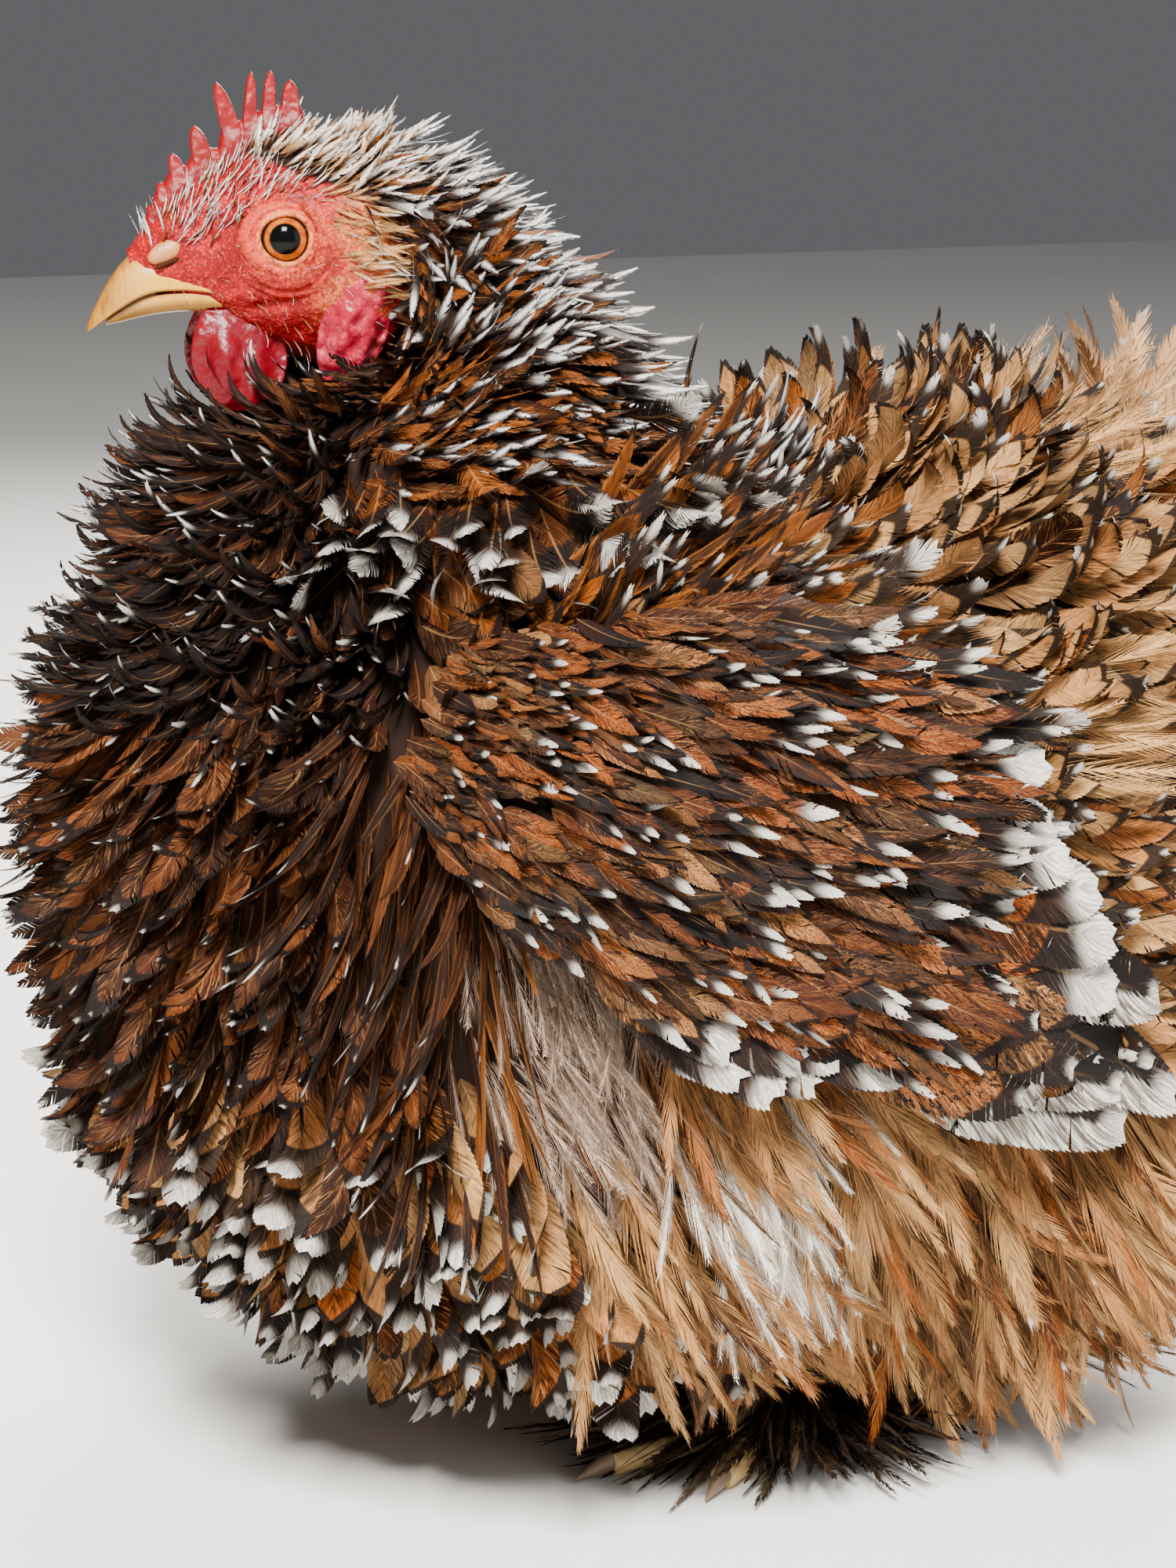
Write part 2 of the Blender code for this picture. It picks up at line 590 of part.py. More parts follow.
def wing_vane(root, length, bearing, half_width, heights, side, columns):
    """One feather of a wing: it lies along the body and its lower edge laps over the feather below."""
    s = np.array([0.0, 0.4, 0.86, 1.0])[:, None]
    width = half_width * np.array([0.3, 0.95, 0.95, 0.35])[:, None]
    share = np.linspace(-1, 1, columns)[None, :]
    turn = math.radians(bearing)
    along = root[0] + length * s * math.cos(turn) - math.sin(turn) * width * share
    up = root[1] + length * s * math.sin(turn) + math.cos(turn) * width * share
    height = heights[0] + (heights[1] - heights[0]) * s**0.7 - VANE_TILT * share * width / half_width
    half = VANE_THICK / 2
    return slab_mesh(over_wing(along, up, height + half, side), over_wing(along, up, height - half, side))


def wing_vanes(side):
    """The feathers of a folded wing, tier by tier from the primaries up to the small coverts."""
    dice = random.Random(11)
    vanes = []
    for first, last, length, turns, width, heights, count, columns in WING_TIERS:
        for k in range(count):
            share = k / (count - 1)
            root = [first[i] + (last[i] - first[i]) * share for i in (0, 1)]
            bearing = turns[0] + (turns[1] - turns[0]) * share + dice.uniform(-1.5, 1.5)
            reach = (length[0] + (length[1] - length[0]) * share) * dice.uniform(0.95, 1.05)
            lifted = (heights[0], heights[1] + dice.uniform(0, 0.8))
            vanes.append(place("vane", *wing_vane(root, reach, bearing, width, lifted, side, columns)))
    return vanes


def make_wing(side, word, coat):
    """A folded wing, lying one gap over the body's side, with its feathers in overlapping tiers."""
    along = np.linspace(-3, 50, 8)
    share = np.linspace(0, 1, 6)
    low, high = through(WING_STATIONS, WING_LOWS, along), through(WING_STATIONS, WING_HIGHS, along)
    up = low[:, None] + (high - low)[:, None] * share
    along = np.broadcast_to(along[:, None], up.shape)
    across = np.sin(math.pi * share) ** 0.5
    length = through((-3, 2, 12, 30, 50), (0.1, 0.6, 1.0, 1.0, 0.6), along)
    thick = 0.9 + WING_CORE * across * length
    outer = over_wing(along, up, WING_CLEAR + thick, side)
    inner = over_wing(along, up, np.full(up.shape, WING_CLEAR), side)
    wing = place(f"wing_{word}", *slab_mesh(outer, inner))
    combine(wing, wing_vanes(side), "UNION")
    combine(wing, [body_cutter()], "DIFFERENCE")
    dress(wing, coat)


def tail_axes():
    """The tail's axes: to the right, up across it, and back along it."""
    lift = math.radians(TAIL_LIFT)
    return np.array([(0, 1, 0), (-math.sin(lift), 0, math.cos(lift)), (math.cos(lift), 0, math.sin(lift))])


def tail_vanes():
    """The tail feathers and their coverts, in rings of tiles round the tail's axis."""
    dice = random.Random(3)
    aside, up, back = tail_axes()
    vanes = []
    for open_angle, first, last, count, length, half_width in TAIL_TIERS:
        spread = math.radians(open_angle)
        for k in range(count):
            round_axis = math.radians(first + (last - first) * k / (count - 1) + dice.uniform(-3, 3))
            away = up * math.cos(round_axis) + aside * math.sin(round_axis)
            along = back * math.cos(spread) + away * math.sin(spread)
            normal = away * math.cos(spread) - back * math.sin(spread)
            root = TAIL_ROOT + away * TAIL_RADIUS * math.sin(spread) + back * TAIL_REACH * math.cos(spread)
            grown = length * dice.uniform(0.93, 1.06)
            vanes.append(place("vane", *free_vane(root, along, normal, grown, half_width, 2, -22, 9)))
    return vanes


def make_tail(coat):
    """The short soft tail behind the cushion."""
    tail = place("tail", *ball_mesh(TAIL_ROOT, TAIL_CORE, tail_axes(), 14, 8))
    combine(tail, tail_vanes(), "UNION")
    combine(tail, [body_cutter()], "DIFFERENCE")
    dress(tail, coat)


def turned_mesh(middle, radii, heights, around=12):
    """An upright turned shape."""
    angle = np.linspace(0, 2 * math.pi, around, endpoint=False)
    rings = [[(middle[0] + r * math.cos(a), middle[1] + r * math.sin(a), h) for a in angle]
             for r, h in zip(radii, heights)]
    return rings_mesh(rings)


def toe_end(length, bearing, side):
    """Where a toe ends, and the direction that it points."""
    turn = math.radians(bearing)
    out = np.array([-math.cos(turn), -side * -math.sin(turn), 0.0])
    return np.array([LEG_X, -side * LEG_Y, 0.0]) + out * length, out


def toe_mesh(length, bearing, side):
    """A toe, flat underneath where it stands on the floor."""
    _, out = toe_end(length, bearing, side)
    across = np.cross((0, 0, 1), out)
    at = np.array([-0.1, 0.15, 0.45, 0.7, 0.92, 1.0])
    swell = np.array([1.1, 1.1, 0.94, 0.96, 0.82, 0.6])
    angle = np.linspace(0, 2 * math.pi, 8, endpoint=False) + math.pi / 8
    root = np.array([LEG_X, -side * LEG_Y, 0.0])
    rings = []
    for share, size in zip(at, swell):
        radius = TOE_RADIUS * size
        middle = root + out * length * share
        rings.append([middle + across * radius * math.cos(a)
                      + np.array([0, 0, max(0.0, radius * 0.8 + radius * math.sin(a))]) for a in angle])
    return rings_mesh(rings)


def claw_mesh(length, bearing, side, grow=0.0):
    """A claw, curved down from the end of its toe to just over the floor, swelled by a margin."""
    end, out = toe_end(length, bearing, side)
    across = np.cross((0, 0, 1), out)
    at = np.linspace(0, 1, 5)
    angle = np.linspace(0, 2 * math.pi, 6, endpoint=False)
    rings = []
    for share in at:
        radius = 1.75 * (1 - share) ** 0.7 + 0.25 + grow
        reach = GAP - grow / 2 + (CLAW_LENGTH + 1.5 * grow) * share
        middle = end + out * reach + np.array([0, 0, 3.0 - 2.3 * share**1.6])
        rings.append([middle + across * radius * 0.8 * math.cos(a) + np.array([0, 0, radius * math.sin(a)])
                      for a in angle])
    return rings_mesh(rings)


def foot_vanes(side):
    """The feathers on the outer side of a foot, spread low over the floor."""
    dice = random.Random(9)
    vanes = []
    for k in range(FOOT_VANES):
        share = k / (FOOT_VANES - 1)
        turn = math.radians(40 + 112 * share)
        along = np.array([-math.cos(turn), -side * math.sin(turn), 0.0])
        root = np.array([LEG_X, -side * LEG_Y, 8.0 + 2.6 * (k % 2)]) + along * 2.6
        length = (32 + 9 * math.sin(math.pi * share)) * dice.uniform(0.94, 1.06)
        drop = math.degrees(math.asin((root[2] - 1.4) / length))
        vanes.append(place("vane", *free_vane(root, along, np.array([0, 0, 1.0]), length, 4.2, -drop * 1.6,
                                              drop * 1.3)))
    return vanes


def make_leg(side, word, coat, horn):
    """A short thigh in its fluff, and a feathered shank and foot with four toes and their claws."""
    middle = (LEG_X, -side * LEG_Y)
    thigh = place(f"thigh_{word}", *turned_mesh(middle, (5.5, 9.0, 12.5, THIGH_TOP_RADIUS, THIGH_TOP_RADIUS),
                                                (14.0, 15.0, 19.0, 28.0, 50.0)))
    combine(thigh, [body_cutter()], "DIFFERENCE")
    dress(thigh, coat)
    foot = place(f"foot_{word}", *turned_mesh(middle, (5.2, 4.8, SHANK_RADIUS, SHANK_RADIUS),
                                              (0.0, 5.0, 9.0, 14.0 - GAP)))
    toes = [place("toe", *toe_mesh(*toe, side)) for toe in TOES.values()]
    combine(foot, toes, "UNION")
    combine(foot, foot_vanes(side), "UNION")
    combine(foot, [place("claw", *claw_mesh(*toe, side, 2 * GAP)) for toe in TOES.values()], "DIFFERENCE")
    dress(foot, horn)
    for toe_word, toe in TOES.items():
        dress(place(f"claw_{word}_{toe_word}", *claw_mesh(*toe, side)), horn)


def main():
    """Builds every piece of the hen."""
    for leftover in list(bpy.data.objects):
        bpy.data.objects.remove(leftover)
    skin = paint("face_skin", (0.62, 0.10, 0.09), 0.5)
    comb_skin = paint("comb_skin", (0.60, 0.03, 0.05), 0.4)
    horn = paint("beak_horn", (0.70, 0.48, 0.20), 0.35)
    eye_clear = paint("eye", (0.20, 0.07, 0.01), 0.1)
    body_coat = paint("body_feathers", (0.22, 0.08, 0.03), 0.7)
    hackle_coat = paint("hackle_feathers", (0.28, 0.12, 0.06), 0.7)
    wing_coat = paint("wing_feathers", (0.32, 0.13, 0.05), 0.65)
    tail_coat = paint("tail_feathers", (0.45, 0.26, 0.12), 0.7)
    foot_coat = paint("foot_feathers", (0.10, 0.07, 0.05), 0.8)
    dress(place("torso", *body_mesh(0.0)), body_coat)
    make_head(skin, horn, comb_skin, eye_clear)
    make_neck(hackle_coat)
    make_tail(tail_coat)
    for side, word in ((LEFT, "left"), (RIGHT, "right")):
        make_wing(side, word, wing_coat)
        make_leg(side, word, foot_coat, horn)


main()
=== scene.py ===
"""A still, life-size model of a mille fleur pekin bantam hen with ruffled feathers."""

import logging
import math
from dataclasses import dataclass
from enum import Enum

import bpy
import numpy as np
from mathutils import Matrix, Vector

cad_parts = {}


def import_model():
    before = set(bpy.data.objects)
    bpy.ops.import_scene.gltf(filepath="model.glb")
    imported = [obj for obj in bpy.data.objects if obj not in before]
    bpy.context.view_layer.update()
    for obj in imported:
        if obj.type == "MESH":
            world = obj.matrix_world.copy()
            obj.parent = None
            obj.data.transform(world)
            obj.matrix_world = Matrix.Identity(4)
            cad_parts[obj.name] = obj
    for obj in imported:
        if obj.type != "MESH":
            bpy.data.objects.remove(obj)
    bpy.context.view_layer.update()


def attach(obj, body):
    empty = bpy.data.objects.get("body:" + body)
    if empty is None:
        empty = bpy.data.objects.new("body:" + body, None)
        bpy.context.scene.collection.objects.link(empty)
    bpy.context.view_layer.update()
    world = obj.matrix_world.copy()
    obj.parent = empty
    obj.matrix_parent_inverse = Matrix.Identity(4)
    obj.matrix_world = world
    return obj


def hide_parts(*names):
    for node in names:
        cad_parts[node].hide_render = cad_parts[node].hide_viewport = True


Array, Dice = np.ndarray, np.random.Generator
Material, Object = bpy.types.Material, bpy.types.Object

LOG = logging.getLogger("hen")
MM = 0.001
SHIFT = np.array([-15.1, 0.0, 0.0])
LEG_X, LEG_Y = 8.0, 27.0
FLOOR_CLEAR, FLOOR_BAND = 0.5, 2.0
SIDE_LIMIT, SIDE_GIVE = 99.5, 4.0
TUFT_PATCH = 0.003
MARKS = ("dice", "tip", "band", "dark", "pale", "edge", "pepper")


class Side(Enum):
    """The bird's left, which the camera sees, and its right."""

    LEFT = 1
    RIGHT = -1

    @property
    def word(self) -> str:
        """Its name in the names of pieces and nodes."""
        return self.name.lower()

    def mirror(self, place: tuple) -> Array:
        """A place given for the left side, on this side."""
        return np.array(place) * (1, self.value, 1)


# Number helpers


def unit(vectors: Array) -> Array:
    """Vectors divided by their lengths."""
    vectors = np.asarray(vectors, float)
    return vectors / np.maximum(np.linalg.norm(vectors, axis=-1, keepdims=True), 1e-9)


def through(stations: tuple, values: tuple, at: Array) -> Array:
    """A smooth line through values at stations: cubic pieces whose slopes are the means of their neighbours'.

    Args:
        stations: rising places of the values.
        values: what the line passes through.
        at: places asked for; past the ends the end value holds.

    Returns:
        The line's values at those places.
    """
    stations, values = np.asarray(stations, float), np.asarray(values, float)
    slopes = np.gradient(values, stations)
    at = np.clip(np.asarray(at, float), stations[0], stations[-1])
    k = np.clip(np.searchsorted(stations, at, side="right") - 1, 0, len(stations) - 2)
    gap = stations[k + 1] - stations[k]
    t = (at - stations[k]) / gap
    return (values[k] * (2 * t**3 - 3 * t**2 + 1) + gap * slopes[k] * (t**3 - 2 * t**2 + t)
            + values[k + 1] * (3 * t**2 - 2 * t**3) + gap * slopes[k + 1] * (t**3 - t**2))


def ease(values: Array, low: float, high: float) -> Array:
    """0 below low, 1 above high and a smooth 3t^2-2t^3 between."""
    t = np.clip((np.asarray(values, float) - low) / (high - low), 0, 1)
    return t * t * (3 - 2 * t)


def ripple(points: Array, scale: float, seed: int) -> Array:
    """Smooth roughness: plane waves of about one wavelength in random directions, summed and evened out.

    Args:
        points: places in mm, last axis 3.
        scale: wavelength in mm.
        seed: picks the directions and phases.

    Returns:
        Values of about -1 to 1 at the points.
    """
    waves, dice = 14, np.random.default_rng(seed)
    ways = unit(dice.normal(size=(waves, 3))) * dice.uniform(0.7, 1.5, (waves, 1)) * 2 * math.pi / scale
    return np.sin(np.asarray(points) @ ways.T + dice.uniform(0, 6.3, waves)).sum(-1) / math.sqrt(waves) / 1.2


def circle(count: int) -> Array:
    """Angles once round as one row, the last a step short of the first."""
    return np.linspace(0, 2 * math.pi, count, endpoint=False)[None]


def marked(count: int, **given: object) -> dict:
    """The numbers that a feather's finish reads, one of each for every feather, 0 where none is given."""
    return {label: np.zeros(count) + given.get(label, 0.0) for label in MARKS}


# The bird's form, in mm and degrees, SHIFT from the CAD's frame

BODY_CENTRE = np.array([0.0, 0.0, 95.0])
MASSES = (((-5, 0, 84), (97, 88, 78)), ((-38, 0, 112), (67, 76, 60)), ((-28, 0, 72), (71, 80, 60)),
          ((50, 0, 120), (64, 62, 53)), ((36, 0, 58), (54, 77, 54)), ((30, -34, 46), (44, 44, 40)),
          ((30, 34, 46), (44, 44, 40)))
MASS_BLEND = 14
HOLLOW_SHARE, HOLLOW_ANGLE = 0.2, 26.0
HEAD_CENTRE = np.array([-59.2, 12.5, 193.0])
HEAD_TURN, HEAD_PITCH, HEAD_BACK = 18.0, 3.0, -14.0
EYE_PLACE, EYE_GAZE = np.array([4.0, 9.2, 3.0]), np.array([0.16, 1.0, 0.06])
HEAD_STATIONS = (-14, -6, 4, 14, 20, 24, 27)
HEAD_HALF_WIDTHS = (17.0, 15.4, 12.6, 8.4, 6.4, 4.9, 2.6)
HEAD_TOPS = (20.5, 19.8, 18.0, 13.6, 9.6, 6.0, 2.6)
HEAD_BOTTOMS = (20.5, 19.0, 15.0, 9.4, 6.2, 4.4, 2.4)
NECK_PATH = ((-30, 3, 116), (-26, 3, 164), (-34, 4, 196))
NECK_STATIONS = (0, 0.25, 0.5, 0.75, 1)
NECK_NAPES = (30, 33, 22.5, 16.5, 18.5)
NECK_THROATS = (50, 58, 50, 33, 20.5)
NECK_SIDES = (44, 55, 44, 29, 17.5)
WRIST_TURN, WRIST_LIFT, WING_SLOPE = 42.0, 11.5, 16.0


def heading(turn: Array, lift: Array, side: int) -> Array:
    """Direction from the body's middle: degrees of turn from the front round the side, and of lift."""
    turn, lift = np.broadcast_arrays(np.radians(turn), np.radians(lift))
    return np.stack([-np.cos(turn) * np.cos(lift), -side * np.sin(turn) * np.cos(lift), np.sin(lift)], -1)


def body_reach(directions: Array) -> Array:
    """How far the coat reaches from the body's middle: ellipsoids blended by power 14, hollow over the legs.

    Args:
        directions: unit vectors.

    Returns:
        Distances in mm.
    """
    total = 0.0
    for centre, radii in MASSES:
        offset, along = (BODY_CENTRE - centre) / np.array(radii, float), directions / np.array(radii, float)
        a, b, c = (along**2).sum(-1), (along * offset).sum(-1), (offset**2).sum() - 1
        inside = b * b - a * c
        reach = np.where(inside > 0, (-b + np.sqrt(np.maximum(inside, 0))) / a, 0)
        total = total + np.maximum(reach, 0) ** MASS_BLEND
    down = np.degrees(np.arccos(np.clip(-directions[..., 2], -1, 1)))
    return total ** (1 / MASS_BLEND) * (1 - HOLLOW_SHARE * np.exp(-((down / HOLLOW_ANGLE) ** 2)))


def over_body(turn: Array, lift: Array, height: Array, side: int) -> Array:
    """Points at a height over the body's outline."""
    way = heading(turn, lift, side)
    return BODY_CENTRE + way * (body_reach(way) + height)[..., None]


def over_wing(along: Array, up: Array, height: Array, side: int) -> Array:
    """Points over a wing's own map of the body's side: degrees back from the wrist and up across the wing."""
    slope = math.radians(WING_SLOPE)
    turn = WRIST_TURN + along * math.cos(slope) + up * math.sin(slope)
    lift = WRIST_LIFT - along * math.sin(slope) + up * math.cos(slope)
    return over_body(turn, lift, height, side)


def head_axes() -> Array:
    """The head's forward, left and up directions."""
    turn, pitch = math.radians(HEAD_TURN), math.radians(HEAD_PITCH)
    level = math.cos(pitch)
    forward = np.array([-math.cos(turn) * level, math.sin(turn) * level, -math.sin(pitch)])
    left = unit(np.cross((0, 0, 1), forward))
    return np.stack([forward, left, np.cross(forward, left)])


def from_head(points: Array) -> Array:
    """Points given as forward, left and up of the head's middle, placed on the bird."""
    return HEAD_CENTRE + np.asarray(points, float) @ head_axes()


def to_head(points: Array) -> Array:
    """The bird's points as forward, left and up of the head's middle."""
    return (np.asarray(points, float) - HEAD_CENTRE) @ head_axes().T


def over_head(forward: Array, around: Array, height: Array) -> Array:
    """Points over the head: each cross section is a superellipse of power 2.2.

    Args:
        forward: mm ahead of the head's middle.
        around: degrees, 0 at the crown, 90 on the left, 180 at the throat.
        height: mm over the surface.

    Returns:
        Points in the bird's frame.
    """
    forward, around = np.broadcast_arrays(np.asarray(forward, float), np.radians(around))
    half = through(HEAD_STATIONS, HEAD_HALF_WIDTHS, forward) + height
    top = through(HEAD_STATIONS, HEAD_TOPS, forward) + height
    bottom = through(HEAD_STATIONS, HEAD_BOTTOMS, forward) + height
    power, aside, above = 2 / 2.2, np.sin(around), np.cos(around)
    across = half * np.sign(aside) * np.abs(aside) ** power
    rise = np.where(above > 0, top, bottom) * np.sign(above) * np.abs(above) ** power
    return from_head(np.stack([forward, across, rise], -1))


def neck_frame(t: Array) -> tuple:
    """Middles of the neck on a cubic curve from the body to the head, with nape and left directions."""
    t = np.asarray(t, float)[..., None]
    end = from_head((HEAD_BACK - 0.3, 0, 0))
    p0, p1, p2 = (np.array(point, float) for point in NECK_PATH)
    middle = (1 - t) ** 3 * p0 + 3 * t * (1 - t) ** 2 * p1 + 3 * t * t * (1 - t) * p2 + t**3 * end
    axes = head_axes()
    rising = unit(3 * (1 - t) ** 2 * (p1 - p0) + 6 * t * (1 - t) * (p2 - p1) + 3 * t * t * (end - p2))
    along = unit(rising * (1 - t**4) + axes[0] * t**4)
    left = unit((1 - t) * np.array([0.0, -1.0, 0.0]) + t * axes[1])
    left = unit(left - (left * along).sum(-1, keepdims=True) * along)
    return middle, np.cross(along, left), left


def over_neck(t: Array, around: Array, height: Array) -> Array:
    """Points over the neck: t rises from body to head, around is 0 at the nape and 90 on the left."""
    t, around = np.broadcast_arrays(np.asarray(t, float), np.radians(around))
    middle, nape, left = neck_frame(t)
    upright = np.where(np.cos(around) > 0, through(NECK_STATIONS, NECK_NAPES, t),
                       through(NECK_STATIONS, NECK_THROATS, t))
    side = through(NECK_STATIONS, NECK_SIDES, t)
    return (middle + nape * ((upright + height) * np.cos(around))[..., None]
            + left * ((side + height) * np.sin(around))[..., None])


# Meshes


def grid_faces(rows: int, columns: int, wrap: bool) -> Array:
    """Quads of a grid whose points run row by row, closed round its columns if wrap."""
    i, j = np.meshgrid(np.arange(rows - 1), np.arange(columns if wrap else columns - 1), indexing="ij")
    nxt = (j + 1) % columns
    return np.stack([i * columns + j, (i + 1) * columns + j, (i + 1) * columns + nxt, i * columns + nxt],
                    -1).reshape(-1, 4)


def closed_tube(rings: Array) -> tuple:
    """A closed surface through rings of points, with fans round the middles of its end rings.

    Args:
        rings: points of shape rows, columns, 3.

    Returns:
        Points and a list of face arrays that face outwards.
    """
    rows, columns = rings.shape[:2]
    points = np.concatenate([rings.reshape(-1, 3), rings[:1].mean(1), rings[-1:].mean(1)])
    j = np.arange(columns)
    first = np.stack([np.full(columns, rows * columns), j, (j + 1) % columns], -1)
    last = np.stack([np.full(columns, rows * columns + 1), (rows - 1) * columns + (j + 1) % columns,
                     (rows - 1) * columns + j], -1)
    return points, outward(points, [grid_faces(rows, columns, True), first, last])


def enclosed(points: Array, faces: list) -> float:
    """Six times the volume inside a closed surface, negative when its faces point inwards."""
    total = 0.0
    for block in faces:
        a, b, c = points[block[:, 0]], points[block[:, 1]], points[block[:, 2]]
        total += (a * np.cross(b, c)).sum()
        if block.shape[1] == 4:
            total += (a * np.cross(c, points[block[:, 3]])).sum()
    return total


def outward(points: Array, faces: list) -> list:
    """The same faces, turned round if they point inwards."""
    middle = points - points.mean(0)
    return [block[:, ::-1] for block in faces] if enclosed(middle, faces) < 0 else faces


def joined(parts: list) -> tuple:
    """Several surfaces as one list of points and faces."""
    points, faces, start = [], [], 0
    for some, blocks in parts:
        points.append(some)
        faces += [block + start for block in blocks]
        start += len(some)
    return np.concatenate(points), faces


def add_piece(name: str, points: Array, faces: list, maps: dict | None = None,
              tints: dict | None = None) -> Object:
    """A mesh object from arrays, at its place on the bird.

    Args:
        name: the object's name.
        points: places in mm in the bird's frame.
        faces: arrays of corner numbers, one array for each number of corners.
        maps: UV maps by name, one pair for each point.
        tints: numbers by name, one for each point.

    Returns:
        The new object.
    """
    mesh = bpy.data.meshes.new(name)
    corners = np.concatenate([block.ravel() for block in faces]).astype(np.int32)
    sizes = np.concatenate([np.full(len(block), block.shape[1]) for block in faces])
    mesh.vertices.add(len(points))
    mesh.vertices.foreach_set("co", ((points + SHIFT) * MM).astype(np.float32).ravel())
    mesh.loops.add(len(corners))
    mesh.loops.foreach_set("vertex_index", corners)
    mesh.polygons.add(len(sizes))
    mesh.polygons.foreach_set("loop_start", np.concatenate([[0], np.cumsum(sizes)[:-1]]).astype(np.int32))
    mesh.polygons.foreach_set("use_smooth", np.ones(len(sizes), bool))
    for label, pairs in (maps or {}).items():
        layer = mesh.uv_layers.new(name=label)
        layer.data.foreach_set("uv", np.asarray(pairs, np.float32)[corners].ravel())
    for label, values in (tints or {}).items():
        layer = mesh.attributes.new(label, "FLOAT", "POINT")
        layer.data.foreach_set("value", np.asarray(values, np.float32).ravel())
    mesh.update(calc_edges=True)
    mesh.validate()
    thing = bpy.data.objects.new(name, mesh)
    bpy.context.scene.collection.objects.link(thing)
    return thing


def settle(thing: Object, finish: Material, slot: str, *nodes: str) -> Object:
    """Dresses a piece, rides it on the one body, hides the nodes that it replaces and logs its number of
    faces.
    """
    thing.data.materials.append(finish)
    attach(thing, "root")
    if nodes:
        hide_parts(*nodes)
    LOG.info("%s: %d faces", thing.name, len(thing.data.polygons))
    return thing


# Materials


class Tone:
    """A shader socket that takes part in Python sums."""

    def __init__(self, recipe: "Recipe", socket: bpy.types.NodeSocket) -> None:
        """Keeps the socket and the recipe that it belongs to."""
        self.recipe, self.socket = recipe, socket

    def _sum(self, operation: str, first: object, second: object) -> "Tone":
        """One Math node on two values."""
        return self.recipe.node("ShaderNodeMath", {"operation": operation}, {0: first, 1: second})

    def __add__(self, other: object) -> "Tone":
        """Adds a value."""
        return self._sum("ADD", self, other)

    __radd__ = __add__

    def __sub__(self, other: object) -> "Tone":
        """Takes a value away."""
        return self._sum("SUBTRACT", self, other)

    def __rsub__(self, other: object) -> "Tone":
        """Is taken from a value."""
        return self._sum("SUBTRACT", other, self)

    def __mul__(self, other: object) -> "Tone":
        """Multiplies by a value."""
        return self._sum("MULTIPLY", self, other)

    __rmul__ = __mul__

    def __abs__(self) -> "Tone":
        """Without its sign."""
        return self._sum("ABSOLUTE", self, 0.0)

    def eased(self, low: object, high: object) -> "Tone":
        """0 below low, 1 above high, smooth between."""
        return self.recipe.node("ShaderNodeMapRange", {"interpolation_type": "SMOOTHSTEP"},
                                {"Value": self, "From Min": low, "From Max": high})


